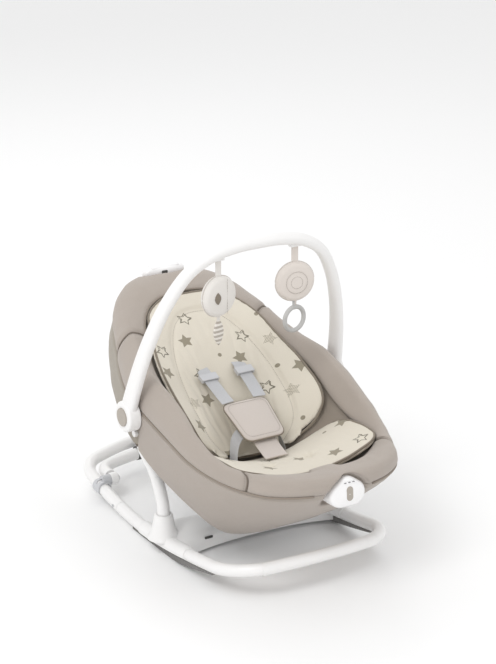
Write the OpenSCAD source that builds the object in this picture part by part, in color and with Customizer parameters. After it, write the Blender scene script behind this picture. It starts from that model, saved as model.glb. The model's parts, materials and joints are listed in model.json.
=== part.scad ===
// Baby bouncer seat: a padded pod hung between two uprights on a rocking tube base.
// +Z up, the feet end towards -Y, the floor at Z = 0, the origin in the middle of the footprint.

/* [Base] */
// Width of the base over its tubes
base_w = 387; // [350:1:430]
// Distance from the rocker's centre to its front corner line
base_front = 325; // [290:1:360]
// Distance from the rocker's centre to its rear corner line
base_rear = 300; // [270:1:340]
// Outside diameter of the frame tube
tube_d = 25; // [20:0.5:30]
// Wall of the frame tube
tube_wall = 1.5; // [1:0.1:2.5]
// Rise of the front of the rocker
rise_front = 46; // [25:1:60]
// Rise of the rear of the rocker
rise_rear = 40; // [25:1:60]
// Thickness of the anti-slip strip where it is thinnest
strip_t = 3; // [2:0.5:5]
// Length of the flat sole that the rocker stands on
sole_len = 165; // [130:1:200]

/* [Seat] */
// Width of the pod at its rim
seat_w = 382; // [340:1:420]
// Length of the pod along the floor, rim to rim
seat_len = 722; // [640:1:780]
// Height of the pod's hinge axis
hub_z = 286; // [270:1:320]
// Thickness of the pod's quilted cover
cover_t = 6; // [4:0.5:9]
// Thickness of the moulded seat shell
shell_t = 3; // [2:0.5:5]
// Thickness of the back and seat pads
pad_t = 24; // [16:1:32]
// Diameter of the rim tube inside the cover
rim_tube_d = 14; // [10:0.5:18]

/* [Toy bar] */
// Height of the toy bar above the hinge axis, in its own plane
bar_h = 355; // [300:1:400]
// Forward lean of the toy bar
bar_lean = 16; // [0:1:25]
// Diameter of the toy bar at its top
bar_d = 24; // [18:1:30]
// Diameter of a soft toy disc
toy_d = 80; // [60:1:90]
// Distance between the two toys
toy_gap = 171; // [140:1:190]

/* [Harness] */
// Width of the harness webbing
web_w = 28; // [20:1:32]
// Thickness of the harness webbing
web_t = 1.6; // [1:0.1:2.5]
// Distance between the two shoulder straps
shoulder_gap = 84; // [70:1:110]

/* [Vibration unit] */
// Width of the vibration unit
unit_w = 86; // [74:1:96]
// Height of the vibration unit
unit_h = 62; // [52:1:72]

/* [Hidden] */

// Running clearance of a pin in its hole, on the radius
run_gap = 0.05;
// Gap between pieces that move past each other
move_gap = 0.4;
tube_r = tube_d / 2;
rail_x = base_w / 2 - tube_r;
rocker_mid = 15;
corner_rear_r = 55;
corner_front_r = 92;
bow_rear = 52;
bow_front = 26;
joint_y = 128;
seat_half = seat_w / 2;
seat_front_y = -422 * seat_len / 722;
hub_y = -13;
pin_d = 10;
upright_x = seat_half + 8.75;
head_w = tube_d - 3;
head_r = 20;
hub_r = 24;
disc_x = upright_x - head_w / 2 - move_gap - 6;
plate_in_x = disc_x - move_gap - 8;
plate_out_x = upright_x + head_w / 2 + move_gap;
plate_out_t = 3;
knob_x = plate_out_x + plate_out_t + cover_t + 2.4;
knob_w = 26;
knob_r = 31;
cap_r = 18;
cap_out = 2.6;
unit_y = seat_front_y + 2;
unit_z = hub_z - 57;
unit_depth = 16;
unit_back = 26;
unit_tilt = 4;
crossbar_y = -48;
socket_y = -50;
kick_x = rail_x - tube_d - 2;
kick_pivot_y = 214;
// The footprint runs from the vibration unit's front to the rear of the base
bow_r = 400;
rear_reach = base_rear + bow_rear + tube_r - bow_r * (1 / cos(atan((bow_rear + 4) / rail_x)) - 1);
shift_y = (-(unit_y - unit_depth) - rear_reach) / 2;

white = [0.93, 0.93, 0.92];
taupe = [0.70, 0.67, 0.63];
cream = [0.86, 0.84, 0.77];
pale = [0.80, 0.82, 0.83];
dark = [0.30, 0.29, 0.28];
steel = [0.72, 0.73, 0.74];

// ---- Geometry helpers ----
function unit(v) = v / norm(v);
function lerp(a, b, t) = a + (b - a) * t;
function flip_x(p) = [-p.x, p.y, p.z];
function reversed(v) = [for (i = [len(v) - 1:-1:0]) v[i]];
function sum(v, i = 0) = i == len(v) - 1 ? v[i] : v[i] + sum(v, i + 1);
function mean(v) = sum(v) / len(v);

// Point at t between b and c on a smooth curve through a, b, c and d
function spline_at(a, b, c, d, t) =
    0.5 * (2 * b + (c - a) * t + (2 * a - 5 * b + 4 * c - d) * t * t + (3 * b - a - 3 * c + d) * t * t * t);
// Smooth open curve through points, n steps to a span
function open_curve(p, n) = let (e = len(p) - 1)
    [each [for (i = [0:e - 1]) for (k = [0:n - 1])
        spline_at(p[max(i - 1, 0)], p[i], p[i + 1], p[min(i + 2, e)], k / n)], p[e]];
// Smooth closed curve through points
function closed_curve(p, n) = let (m = len(p))
    [for (i = [0:m - 1]) for (k = [0:n - 1])
        spline_at(p[(i + m - 1) % m], p[i], p[(i + 1) % m], p[(i + 2) % m], k / n)];
// Polyline whose inner corners are turned into arcs of the given radii
function rounded(p, radii, n) = [p[0], each [for (i = [1:len(p) - 2])
    let (u = unit(p[i] - p[i - 1]), w = unit(p[i + 1] - p[i]), turn = acos(u * w), r = radii[i - 1],
         start = p[i] - u * r * tan(turn / 2), side = unit(w - u * (u * w)))
    for (k = [0:n]) start + r * (sin(turn * k / n) * u + (1 - cos(turn * k / n)) * side)], p[len(p) - 1]];
// Path with its long straight stretches cut into steps
function divided(p, step) = [each [for (i = [0:len(p) - 2])
    let (n = max(1, ceil(norm(p[i + 1] - p[i]) / step)))
    for (k = [0:n - 1]) lerp(p[i], p[i + 1], k / n)], p[len(p) - 1]];
// Direction of a path at one of its points
function heading(p, i, closed) = let (n = len(p))
    closed ? unit(p[(i + 1) % n] - p[(i + n - 1) % n]) : unit(p[min(i + 1, n - 1)] - p[max(i - 1, 0)]);
// Rings of radius r round a path; r is a number, or [across, along] for each point
function rings(p, r, ref, sides, closed = false) = [for (i = [0:len(p) - 1])
    let (t = heading(p, i, closed), u = unit(cross(t, ref)), v = cross(u, t),
         ru = is_num(r) ? r : r[i][0], rv = is_num(r) ? r : r[i][1])
    [for (k = [0:sides - 1]) p[i] + ru * cos(360 * k / sides) * u + rv * sin(360 * k / sides) * v]];

// Closed solid through equal rings, wrapped round on itself or closed at both ends
module skin(g, wrap = false) {
    n = len(g);
    m = len(g[0]);
    area = sum([for (k = [0:m - 1]) cross(g[0][k] - g[0][0], g[0][(k + 1) % m] - g[0][0])]);
    ahead = area * (mean(g[1]) - mean(g[0])) > 0;
    walls = [for (i = [0:(wrap ? n : n - 1) - 1]) for (k = [0:m - 1])
        let (a = i * m + k, b = i * m + (k + 1) % m, c = ((i + 1) % n) * m + (k + 1) % m,
             d = ((i + 1) % n) * m + k) each [[a, c, b], [a, d, c]]];
    last = (n - 1) * m;
    ends = wrap ? [] : [for (k = [0:m / 2 - 2]) let (a = k, b = m - 1 - k, c = m - 2 - k, d = k + 1)
        each [[a, c, b], [a, d, c], [last + a, last + b, last + c], [last + a, last + c, last + d]]];
    faces = concat(walls, ends);
    polyhedron([for (r = g) each r], ahead ? faces : [for (f = faces) [f[0], f[2], f[1]]]);
}

// Round tube along a path, hollow where a wall is given
module pipe(p, r, ref, wall = 0, sides = 12, closed = false) {
    outer = rings(p, r, ref, sides, closed);
    if (wall > 0) skin(concat(outer, reversed(rings(p, r - wall, ref, sides, closed))), wrap = true);
    else skin(outer, wrap = closed);
}

// Grid moved along its own normals by t
function moved(g, t, wrap) = let (n = len(g), m = len(g[0])) [for (i = [0:n - 1]) [for (k = [0:m - 1])
    let (di = wrap ? g[(i + 1) % n][k] - g[(i + n - 1) % n][k] : g[min(i + 1, n - 1)][k] - g[max(i - 1, 0)][k],
         dk = g[i][min(k + 1, m - 1)] - g[i][max(k - 1, 0)])
    g[i][k] + t * unit(cross(dk, di))]];
// Sheet of even thickness on one side of a grid of points
module sheet(g, t, wrap = false) {
    back = moved(g, t, wrap);
    skin([for (i = [0:len(g) - 1]) concat(g[i], reversed(back[i]))], wrap);
}
// Padded sheet, full in the middle and thin round its border
module cushion(g, t, edge) {
    n = len(g);
    m = len(g[0]);
    full = moved(g, t, false);
    swell = function(i, k) edge + (1 - edge) * pow(sin(180 * i / (n - 1)), 0.5) * pow(sin(180 * k / (m - 1)), 0.5);
    skin([for (i = [0:n - 1])
        concat(g[i], reversed([for (k = [0:m - 1]) lerp(g[i][k], full[i][k], swell(i, k))]))]);
}
module both_sides() {
    children();
    mirror([1, 0, 0]) children();
}
module settled() {
    translate([0, shift_y, 0]) children();
}
// Cylinder along X from x = a to x = b
module across(a, b, r, y = 0, z = 0, fn = 48) {
    translate([a, y, z]) rotate([0, 90, 0]) cylinder(h = b - a, r = r, $fn = fn);
}
module block(low, high) {
    translate(low) cube(high - low);
}

// ---- Base ----
function rocker_rise(y) = y < rocker_mid
    ? rise_front * pow((rocker_mid - y) / (base_front + rocker_mid), 1.5)
    : rise_rear * pow((y - rocker_mid) / (base_rear - rocker_mid), 2);
function rail_z(y) = strip_t + tube_r + rocker_rise(y);
function on_rocker(p) = [for (q = p) [q.x, q.y, rail_z(q.y)]];

rear_path = on_rocker(divided(rounded([[-rail_x, joint_y + 0.4], [-rail_x, base_rear - 4],
    [0, base_rear + bow_rear], [rail_x, base_rear - 4], [rail_x, joint_y + 0.4]],
    [corner_rear_r, bow_r, corner_rear_r], 7), 44));
front_path = on_rocker(divided(rounded([[-rail_x, joint_y], [-rail_x, -base_front],
    [0, -base_front - bow_front], [rail_x, -base_front], [rail_x, joint_y]],
    [corner_front_r, 900, corner_front_r], 7), 48));

module rear_base_tube() {
    color(white) settled() pipe(rear_path, tube_r, [0, 0, 1], tube_wall);
}
module front_base_tube() {
    color(white) settled() pipe(front_path, tube_r, [0, 0, 1], tube_wall);
}
sleeve_len = 60;
sleeve_path = [for (k = [0:4]) let (y = joint_y + sleeve_len * (k / 4 - 0.5)) [rail_x, y, rail_z(y)]];
module joint_sleeves() {
    color(steel) settled() both_sides()
        pipe(sleeve_path, tube_r - tube_wall - 0.8, [1, 0, 0], tube_wall);
}
screw_y = joint_y + 14;
// Screws of the tube joints and, underneath, of the crossbar
module frame_screws() {
    color(steel) settled() {
        both_sides() translate([rail_x, screw_y, rail_z(screw_y)]) rotate([0, 90, 0])
            translate([0, 0, tube_r]) cylinder(h = 1.4, r = 3.2, $fn = 32);
        translate([0, crossbar_y, tray_z - 1.8]) for (x = [-120, 0, 120]) for (y = [-34, 34])
            translate([x, y, 0]) cylinder(h = 1.8, r = 4, $fn = 32);
    }
}
sole_front = rocker_mid - sole_len * 0.68;
sole_rear = sole_front + sole_len;
strip_front = -250;
// Sole that follows the rail above, and is flat below where the rocker stands
module anti_slip_strips() {
    ys = [for (k = [0:28]) lerp(strip_front, sole_rear, k / 28)];
    top = [for (y = ys) [y, strip_t + rocker_rise(y) + 0.9]];
    low = [for (y = ys) [y, y > sole_front ? 0
        : rocker_rise(strip_front) * pow((sole_front - y) / (sole_front - strip_front), 1.15)]];
    color(dark) settled() both_sides() difference() {
        translate([rail_x - 7, 0, 0]) rotate([90, 0, 90]) linear_extrude(14)
            polygon(concat(top, reversed(low)));
        strip_channel();
    }
}
module strip_channel() {
    pipe([for (k = [0:16]) let (y = lerp(strip_front - 20, sole_rear + 20, k / 16)) [rail_x, y, rail_z(y)]],
        tube_r + 0.3, [1, 0, 0], 0, 16);
}

plate_z = strip_t + tube_r;
tray_z = 9;
module crossbar_cover() {
    color(white) settled() difference() {
        union() {
            intersection() {
                translate([0, crossbar_y, 0]) rotate([90, 0, 90]) translate([0, 0, -rail_x + tube_r])
                    linear_extrude(2 * (rail_x - tube_r)) crossbar_outline();
                translate([0, 0, -1]) linear_extrude(120) crossbar_plan();
            }
            both_sides() {
                saddle();
                translate([rail_x, socket_y, plate_z]) cylinder(h = 62, r1 = tube_r + 9, r2 = tube_r + 5, $fn = 48);
            }
        }
        both_sides() {
            rail_channel();
            translate([rail_x, socket_y, plate_z + 16]) cylinder(h = 60, r = tube_r + 0.6, $fn = 48);
        }
        translate([0, crossbar_y, 0]) block([-rail_x + tube_r + 6, -47, -1], [rail_x - tube_r - 6, 47, 27]);
        translate([-118, crossbar_y - 56, 31]) cube([22, 12, 4]);
    }
}
// Section of the moulded plate, a low arch
module crossbar_outline() {
    polygon([[-52, 7], [-50, 26], [-38, 37], [-20, 42], [20, 42], [38, 37], [50, 26], [52, 7]]);
}
// Plan of the moulded plate, waisted between the rails
module crossbar_plan() {
    w = rail_x;
    polygon([[-w, crossbar_y - 74], [-w * 0.72, crossbar_y - 52], [0, crossbar_y - 44], [w * 0.72, crossbar_y - 52],
        [w, crossbar_y - 74], [w, crossbar_y + 74], [w * 0.72, crossbar_y + 50], [0, crossbar_y + 42],
        [-w * 0.72, crossbar_y + 50], [-w, crossbar_y + 74]]);
}
saddle_front = -150;
saddle_rear = 30;
saddle_drop = 6;
function saddle_path(over) = [for (k = [0:8]) let (y = lerp(saddle_front - over, saddle_rear + over, k / 8))
    [rail_x, y, rail_z(y)]];
module saddle() {
    difference() {
        pipe(saddle_path(0), tube_r + 4, [1, 0, 0], 0, 20);
        translate([rail_x - 40, 0, 0]) rotate([90, 0, 90]) linear_extrude(80)
            polygon([[saddle_rear + 30, -30], [saddle_front - 30, -30],
                each [for (q = saddle_path(25)) [q.y, q.z - saddle_drop]]]);
    }
}
module rail_channel() {
    pipe(saddle_path(25), tube_r + 0.3, [1, 0, 0], 0, 20);
}
module crossbar_tray() {
    color(white) settled() translate([0, crossbar_y, 0]) difference() {
        block([-rail_x + tube_r + 6.4, -46.4, tray_z], [rail_x - tube_r - 6.4, 46.4, 26.6]);
        block([-rail_x + tube_r + 9, -43.5, tray_z + 3], [rail_x - tube_r - 9, 43.5, 30]);
    }
}
upright_route = [[rail_x, socket_y, plate_z + 20], [rail_x, socket_y, plate_z + 40],
    [rail_x, socket_y, plate_z + 62], [rail_x + 0.5, -46, 108],
    [rail_x + 4, -24, 160], [upright_x - 3, -2, 205], [upright_x, -2, hub_z - 52], [upright_x, -9, hub_z - hub_r - 1]];
module upright() {
    pipe(open_curve(upright_route, 4), tube_r, [1, 0, 0], tube_wall);
    difference() {
        union() {
            across(upright_x - head_w / 2, upright_x + head_w / 2, head_r, hub_y, hub_z, 64);
            translate([upright_x, hub_y + 3, hub_z - hub_r - 4]) block([-head_w / 2, -12, 0], [head_w / 2, 10, hub_r]);
        }
        across(upright_x - 40, upright_x + 40, pin_d / 2, hub_y, hub_z);
    }
}
module upright_left() {
    color(white) settled() mirror([1, 0, 0]) upright();
}
module upright_right() {
    color(white) settled() upright();
}
disc_r = 21;
notch_r = 15;
notch_angles = [-8, 0, 6];
lock_angle = 210;
module ratchet_discs() {
    color(steel) settled() both_sides() difference() {
        across(disc_x, disc_x + 6, disc_r, hub_y, hub_z, 64);
        across(disc_x - 1, disc_x + 8, pin_d / 2, hub_y, hub_z);
        for (a = [notch_angles[0]:2:notch_angles[2]]) at_lock(a) across(disc_x - 1, disc_x + 8, 3.3);
    }
}
// Place of a lock pin on its circle, turned by a from its rest place
module at_lock(a = 0) {
    translate([0, hub_y + notch_r * cos(lock_angle + a), hub_z + notch_r * sin(lock_angle + a)]) children();
}
module hinge_pins() {
    color(steel) settled() both_sides() {
        across(plate_in_x - 3, knob_x + 10, pin_d / 2, hub_y, hub_z);
        across(plate_in_x - 6, plate_in_x - 0.5, 8, hub_y, hub_z);
    }
}

// ---- Kickstand ----
kick_z = rail_z(kick_pivot_y) + 13;
kick_rear = base_rear - tube_d - 6;
kick_path = divided([for (q = rounded([[-kick_x, kick_pivot_y + 14], [-kick_x, kick_rear],
    [0, kick_rear + bow_rear - 6], [kick_x, kick_rear], [kick_x, kick_pivot_y + 14]], [34, bow_r, 34], 6))
    [q.x, q.y, lerp(kick_z, rail_z(base_rear) - 3, min(1, (q.y - kick_pivot_y) / (base_rear - kick_pivot_y)))]], 34);
module kickstand_bar() {
    color(white) settled() difference() {
        union() {
            pipe(kick_path, tube_r, [0, 0, 1], tube_wall);
            both_sides() across(kick_x - 8, kick_x + 8, 13, kick_pivot_y, kick_z);
        }
        both_sides() across(kick_x - 20, kick_x + 20, 4 + run_gap, kick_pivot_y, kick_z);
    }
}
foot_x = 40;
module kickstand_feet() {
    color(dark) settled() both_sides() translate([foot_x, kick_foot_y(foot_x), kick_foot_z(foot_x)])
        rotate([0, 90, 0]) difference() {
            cylinder(h = 34, r = tube_r + 2.5, center = true, $fn = 32);
            cylinder(h = 36, r = tube_r + 0.2, center = true, $fn = 32);
        }
}
function kick_foot_y(x) = let (c = [for (q = kick_path) if (q.x > 0 && q.y > kick_rear - 4) [q.x, q.y]])
    lookup(x, reversed(c));
function kick_foot_z(x) = let (c = [for (q = kick_path) if (q.x > 0 && q.y > kick_rear - 4) [q.x, q.z]])
    lookup(x, reversed(c));
rail_slope = atan((rail_z(kick_pivot_y + 10) - rail_z(kick_pivot_y - 10)) / 20);
module kickstand_brackets() {
    color(pale) settled() both_sides() difference() {
        union() {
            across(kick_x + 8.5, rail_x, 11, kick_pivot_y, kick_z);
            translate([rail_x, kick_pivot_y, rail_z(kick_pivot_y)]) rotate([90, 0, 0])
                cylinder(h = 26, r = tube_r + 3, center = true, $fn = 48);
        }
        translate([rail_x, kick_pivot_y, rail_z(kick_pivot_y)]) rotate([90 + rail_slope, 0, 0])
            cylinder(h = 60, r = tube_r + 0.6, center = true, $fn = 48);
        across(kick_x, kick_x + 40, 4, kick_pivot_y, kick_z);
    }
}
module kickstand_pins() {
    color(steel) settled() both_sides() {
        across(kick_x - 9.5, kick_x + 18, 4, kick_pivot_y, kick_z);
        across(kick_x - 12, kick_x - 9.5, 6, kick_pivot_y, kick_z);
    }
}

// ---- Pod: four lines run round it, given from the front centre to the head centre ----
// Each station is scaled from the pod's width, its length and the height of its hinge
function place(q) = [q[0] < 191 ? q[0] * seat_half / 191 : seat_half + q[0] - 191, seat_front_y + (q[1] + 422) * seat_len / 722, q[2] + hub_z - 286];
// Rim, the highest line of the cover
rim_half = [for (q = [[0, -422, 262], [80, -410, 262], [135, -375, 261], [162, -323, 259], [182, -269, 266],
    [191, -205, 288], [189, -125, 327], [189, -50, 349], [181, 20, 357], [166, 88, 378], [152, 145, 402],
    [129, 210, 425], [88, 249, 447], [42, 266, 454], [0, 270, 456]]) place(q)];
// Line where the cover meets the pads
pad_half = [for (q = [[0, -312, 205], [85, -310, 212], [138, -300, 232], [162, -275, 240], [170, -238, 247],
    [171, -180, 252], [167, -120, 274], [164, -45, 314], [156, 18, 336], [140, 78, 366], [120, 128, 398],
    [92, 166, 418], [62, 182, 430], [30, 188, 435], [0, 190, 436]]) place(q)];
// Outer seam between the rim panels and the skirt or the back cover
seam_half = [for (q = [[0, -430, 236], [82, -416, 235], [139, -377, 233], [168, -327, 233], [191, -269, 239],
    [207, -200, 252], [213, -125, 274], [215, -52, 292], [213, 18, 306], [192, 90, 328], [168, 150, 354],
    [140, 214, 386], [97, 260, 416], [46, 279, 430], [0, 283, 432]]) place(q)];
// Bulge half-way down the skirt and the back cover
bulge_half = [for (q = [[0, -322, 150], [73, -314, 150], [122, -290, 152], [157, -258, 160], [185, -215, 176],
    [203, -162, 198], [212, -100, 222], [214.5, -40, 246], [214.5, 22, 268], [201, 98, 284], [175, 162, 302],
    [142, 224, 322], [98, 276, 340], [47, 298, 350], [0, 303, 352]]) place(q)];
// Lower edge of the skirt and of the back cover
hem_half = [for (q = [[0, -195, 72], [62, -194, 73], [112, -188, 80], [142, -178, 98], [166, -160, 124],
    [187, -130, 152], [204, -82, 180], [214, -32, 208], [214.5, 22, 236], [186, 96, 238], [150, 138, 236],
    [112, 152, 228], [74, 146, 222], [36, 140, 219], [0, 138, 218]]) place(q)];

function all_round(half) = closed_curve(concat(half, [for (i = [len(half) - 2:-1:1]) flip_x(half[i])]), 3);
rim_line = all_round(rim_half);
pad_line = all_round(pad_half);
seam_line = all_round(seam_half);
bulge_line = all_round(bulge_half);
hem_line = all_round(hem_half);
stations = len(rim_line);
hub_station = 22;
head_station = 33;
front_station = 9;

// Section of a rim panel from the pad line, over the rim, down to the seam
function panel_section(i) = let (p = pad_line[i], c = rim_line[i], s = seam_line[i],
    crown = lerp(p, c, 0.55) + [0, 0, 0.13 * norm(c - p)],
    shoulder = lerp(c, s, 0.45) + 0.16 * norm(c - s) * unit([c.x - p.x, c.y - p.y, 0]))
    open_curve([p, crown, c, shoulder, s], 2);
function lower_section(i) =
    open_curve([lerp(seam_line[i], bulge_line[i], 0.08), bulge_line[i], hem_line[i]], 3);
// Stations from a to b, both ends kept, counted round the pod
function arc(a, b) = [for (i = [a:b]) (i + stations) % stations];

// Panels that meet at a seam share its face, so their thickness is worked out past both ends
module panels(a, b) {
    inner = [for (i = arc(a - 1, b + 1)) panel_section(i)];
    outer = moved(inner, cover_t, false);
    skin([for (i = [1:len(inner) - 2]) concat(inner[i], reversed(outer[i]))]);
}
module lower_cover(a, b) {
    sheet([for (i = arc(a, b)) lower_section(i)], cover_t);
}
module head_panel() {
    color(taupe) settled() difference() {
        panels(head_station, stations - head_station);
        translate(handle_c) translate([0, 0, -30]) linear_extrude(60) handle_plan(0.3);
    }
}
module side_panel_right() {
    color(taupe) settled() panels(front_station, head_station);
}
module side_panel_left() {
    color(taupe) settled() mirror([1, 0, 0]) panels(front_station, head_station);
}
module front_panel() {
    color(taupe) settled() difference() {
        panels(-front_station, front_station);
        unit_opening();
    }
}
module pivot_hole() {
    both_sides() across(seat_half - 10, seat_half + 60, 13, hub_y, hub_z);
}
module skirt() {
    color(taupe) settled() difference() {
        lower_cover(-hub_station, hub_station);
        pivot_hole();
        unit_opening();
    }
}
module back_cover() {
    color(taupe) settled() difference() {
        lower_cover(hub_station, stations - hub_station);
        pivot_hole();
        snaps(0.1);
    }
}
snap_z = hub_z - 41;
snap_r = 7;
module snaps(grow) {
    both_sides() across(plate_out_x + plate_out_t + 0.2 - grow * 100, knob_x + 1 + grow * 100, snap_r + grow, hub_y + 2, snap_z, 32);
}
module snap_fasteners() {
    color(white) settled() snaps(0);
}
// The rim tube passes behind the vibration unit at the front
function behind_unit(c) = c.y > hub_y ? 0 : let (t = max(0, min(1, (unit_w / 2 + 75 - abs(c.x)) / 75)))
    (unit_back + rim_tube_d / 2 + 1) * t * t * (3 - 2 * t);
tube_drop = 5;
// The tube turns in a little at the front corners
function tube_inset(c) = 3 + 2 * max(0, min(1, (-240 - c.y) / 40));
rim_tube_line = [for (i = [0:stations - 1]) let (c = rim_line[i], p = pad_line[i])
    c - [0, 0, cover_t + rim_tube_d / 2 + tube_drop]
        + (tube_inset(c) + behind_unit(c)) * unit([p.x - c.x, p.y - c.y, 0])];
module rim_tube() {
    color(steel) settled() pipe(rim_tube_line, rim_tube_d / 2, [0, 0, 1], 0, 8, true);
}

// ---- Ribs: curves across the pod, from centre to edge, for the liner, the shells and the pads ----
function rib(centre, edge, steps, reach = 1) = [for (k = [-steps:steps]) let (t = reach * k / steps)
    [edge.x * t, lerp(centre.y, edge.y, t * t), lerp(centre.z, edge.z, pow(abs(t), 1.9))]];
function ribs(centres, edges, steps, reach = 1, n = 2) = let (c = open_curve(centres, n), e = open_curve(edges, n))
    [for (i = [0:len(c) - 1]) rib(c[i], e[i], steps, reach)];
function inset_edge(p, c, in, down) = p + in * unit([p.x - c.x, p.y - c.y, 0]) - [0, 0, down];
liner_centres = [for (q = [[0, -306, 185], [0, -290, 181], [0, -255, 174], [0, -210, 165], [0, -160, 154],
    [0, -108, 145], [0, -60, 179], [0, 2, 233], [0, 66, 295], [0, 118, 352], [0, 155, 396], [0, 172, 416]]) place(q)];
liner_edges = [for (i = [1:12]) inset_edge(pad_half[i], rim_half[i], 2, 15)];
module seat_liner() {
    color(taupe) settled() sheet(ribs(liner_centres, liner_edges, 6), -cover_t);
}
function lowered(v, d) = [for (q = v) q - [0, 0, d]];
module shell(first, last, reach) {
    c = [for (i = [first:last]) liner_centres[i]];
    e = [for (i = [first:last]) liner_edges[i]];
    sheet(lowered_grid(ribs(c, e, 5, reach), cover_t + 6), -shell_t);
}
function lowered_grid(g, d) = [for (r = g) lowered(r, d)];
module seat_shell() {
    color(pale) settled() shell(0, 5, 0.86);
}
module back_board() {
    color(pale) settled() shell(6, 11, 0.86);
}
back_centres = [for (q = [[0, -97, 186], [0, -75, 206], [0, -40, 240], [0, 12, 288], [0, 70, 343], [0, 120, 393],
    [0, 152, 425], [0, 172, 444]]) place(q)];
back_edges = [for (q = [[80, -98, 196], [126, -118, 240], [151, -108, 290], [151, -32, 334], [141, 33, 364],
    [123, 97, 403], [98, 150, 425], [60, 170, 442]]) place(q)];
seat_centres = [for (q = [[0, -288, 221], [0, -270, 221], [0, -235, 216], [0, -185, 204], [0, -135, 188],
    [0, -112, 182]]) place(q)];
seat_edges = [for (q = [[92, -294, 238], [146, -288, 258], [161, -255, 263], [160, -180, 256], [140, -130, 228],
    [86, -112, 190]]) place(q)];
module back_pad() {
    color(cream) settled() cushion(ribs(back_centres, back_edges, 6), -pad_t, 0.4);
}
module seat_pad() {
    color(cream) settled() cushion(ribs(seat_centres, seat_edges, 6), -pad_t, 0.4);
}

// ---- Hinges between the pod and the uprights ----
bridge_z = hub_z + head_r + 3;
module hub_half() {
    difference() {
        union() {
            across(plate_in_x, plate_in_x + 8, hub_r, hub_y, hub_z, 64);
            across(plate_out_x, plate_out_x + plate_out_t, hub_r, hub_y, hub_z, 64);
            block([plate_in_x, hub_y - 16, hub_z], [plate_in_x + 8, hub_y + 16, bridge_z + 6]);
            block([plate_out_x, hub_y - 16, hub_z], [plate_out_x + plate_out_t, hub_y + 16, bridge_z + 2]);
            block([plate_in_x, hub_y - 16, bridge_z], [plate_out_x + 1.5, hub_y + 16, bridge_z + 6]);
        }
        across(plate_in_x - 1, knob_x, pin_d / 2 + run_gap, hub_y, hub_z);
        at_lock() across(plate_in_x - 1, plate_in_x + 9, 3 + run_gap);
        rim_tube_clearance();
    }
}
module rim_tube_clearance() {
    c = [for (i = [hub_station - 6:hub_station + 4]) rim_tube_line[i]];
    pipe(c, rim_tube_d / 2 + 0.3, [0, 0, 1], 0, 12);
}
module hub_left() {
    color(pale) settled() mirror([1, 0, 0]) hub_half();
}
module hub_right() {
    color(pale) settled() hub_half();
}
lock_pin_len = 20;
module lock_pin() {
    at_lock() {
        across(disc_x + 6 - lock_pin_len, disc_x + 5.5, 3, 0, 0, 32);
        across(disc_x + 6 - lock_pin_len - 3, disc_x + 6 - lock_pin_len, 5, 0, 0, 32);
    }
}
module lock_pin_left() {
    color(steel) settled() mirror([1, 0, 0]) lock_pin();
}
module lock_pin_right() {
    color(steel) settled() lock_pin();
}
cable_start = [disc_x - 12, hub_y + notch_r * cos(lock_angle) + 8, hub_z + notch_r * sin(lock_angle) - 4];
// Each cable runs from its lock pin up behind the back board to the recline lever
cable_route = [cable_start, cable_start + [-5, 20, -8], place([140, 75, 318]), place([112, 140, 362]),
    place([70, 205, 408]), place([34, 238, 428]), place([22, 248, 430])];
module recline_cables() {
    color(dark) settled() both_sides() pipe(open_curve(cable_route, 3), 1.6, [0, 0.6, -0.8], 0, 8);
}

// ---- Recline handle on the head of the rim ----
handle_half = 47;
handle_c = place([0, 268, 458]);
module handle_plan(grow) {
    hull() {
        translate([0, 4]) square([2 * handle_half - 44 + 2 * grow, 36 + 2 * grow], center = true);
        for (x = [-handle_half + 11, handle_half - 11]) translate([x, 0]) circle(r = 11 + grow, $fn = 32);
    }
}
recess_z = -3;
lever_z = 5;
module handle_body() {
    color(white) settled() translate(handle_c) difference() {
        translate([0, 0, -11]) linear_extrude(27) handle_plan(0);
        translate([0, 0, -12]) linear_extrude(6) handle_plan(-3);
        translate([-32, -11, recess_z]) cube([64, 22, 30]);
        for (x = [-1, 1]) translate([x * handle_half, 0, -2]) cube([9, 6, 30], center = true);
    }
}
module recline_lever() {
    color(white) settled() translate(handle_c) {
        difference() {
            block([-31.4, -10.4, lever_z], [31.4, 10.4, 16]);
            translate([-8, -13, 12]) cube([16, 5, 6]);
        }
    }
}
module lever_spring() {
    color(steel) settled() translate(handle_c) translate([0, 0, recess_z]) difference() {
        cylinder(h = lever_z - recess_z, r = 6, $fn = 32);
        translate([0, 0, -1]) cylinder(h = lever_z - recess_z + 2, r = 5, $fn = 32);
    }
}

// ---- Harness ----
// Flat webbing along a route, its width along X
module web(route, w, t, steps = 3) {
    p = open_curve(route, steps);
    skin([for (i = [0:len(p) - 1]) let (h = heading(p, i, false), up = unit(cross([1, 0, 0], h)))
        [p[i] + [-w / 2, 0, 0] - up * t / 2, p[i] + [w / 2, 0, 0] - up * t / 2,
         p[i] + [w / 2, 0, 0] + up * t / 2, p[i] + [-w / 2, 0, 0] + up * t / 2]]);
}
strap_x = shoulder_gap / 2;
// Shoulder strap from its slot in the pad, over the pad, to the harness pad
shoulder_route = [for (q = [[strap_x, 47, 326], [strap_x, 38, 326], [strap_x - 1, 12, 316], [strap_x - 3, -18, 303],
    [strap_x - 5, -40, 293], [strap_x - 6, -56, 286]]) place([q[0] * 191 / seat_half, q[1], q[2]])];
module shoulder_strap_left() {
    color(pale) settled() mirror([1, 0, 0]) web(shoulder_route, web_w, web_t);
}
module shoulder_strap_right() {
    color(pale) settled() web(shoulder_route, web_w, web_t);
}
adjuster_c = place([(strap_x - 1) * 191 / seat_half, 12, 316]);
strap_tilt = 22;
module strap_adjuster() {
    translate(adjuster_c) rotate([strap_tilt, 0, 0]) difference() {
        translate([0, 0, 1]) block([-web_w / 2 - 5, -9, -3.2], [web_w / 2 + 5, 9, 4.4]);
        translate([0, 0, 1]) block([-web_w / 2 - 1.5, -12, -2.4], [web_w / 2 + 1.5, 12, 1.6]);
    }
}
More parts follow.
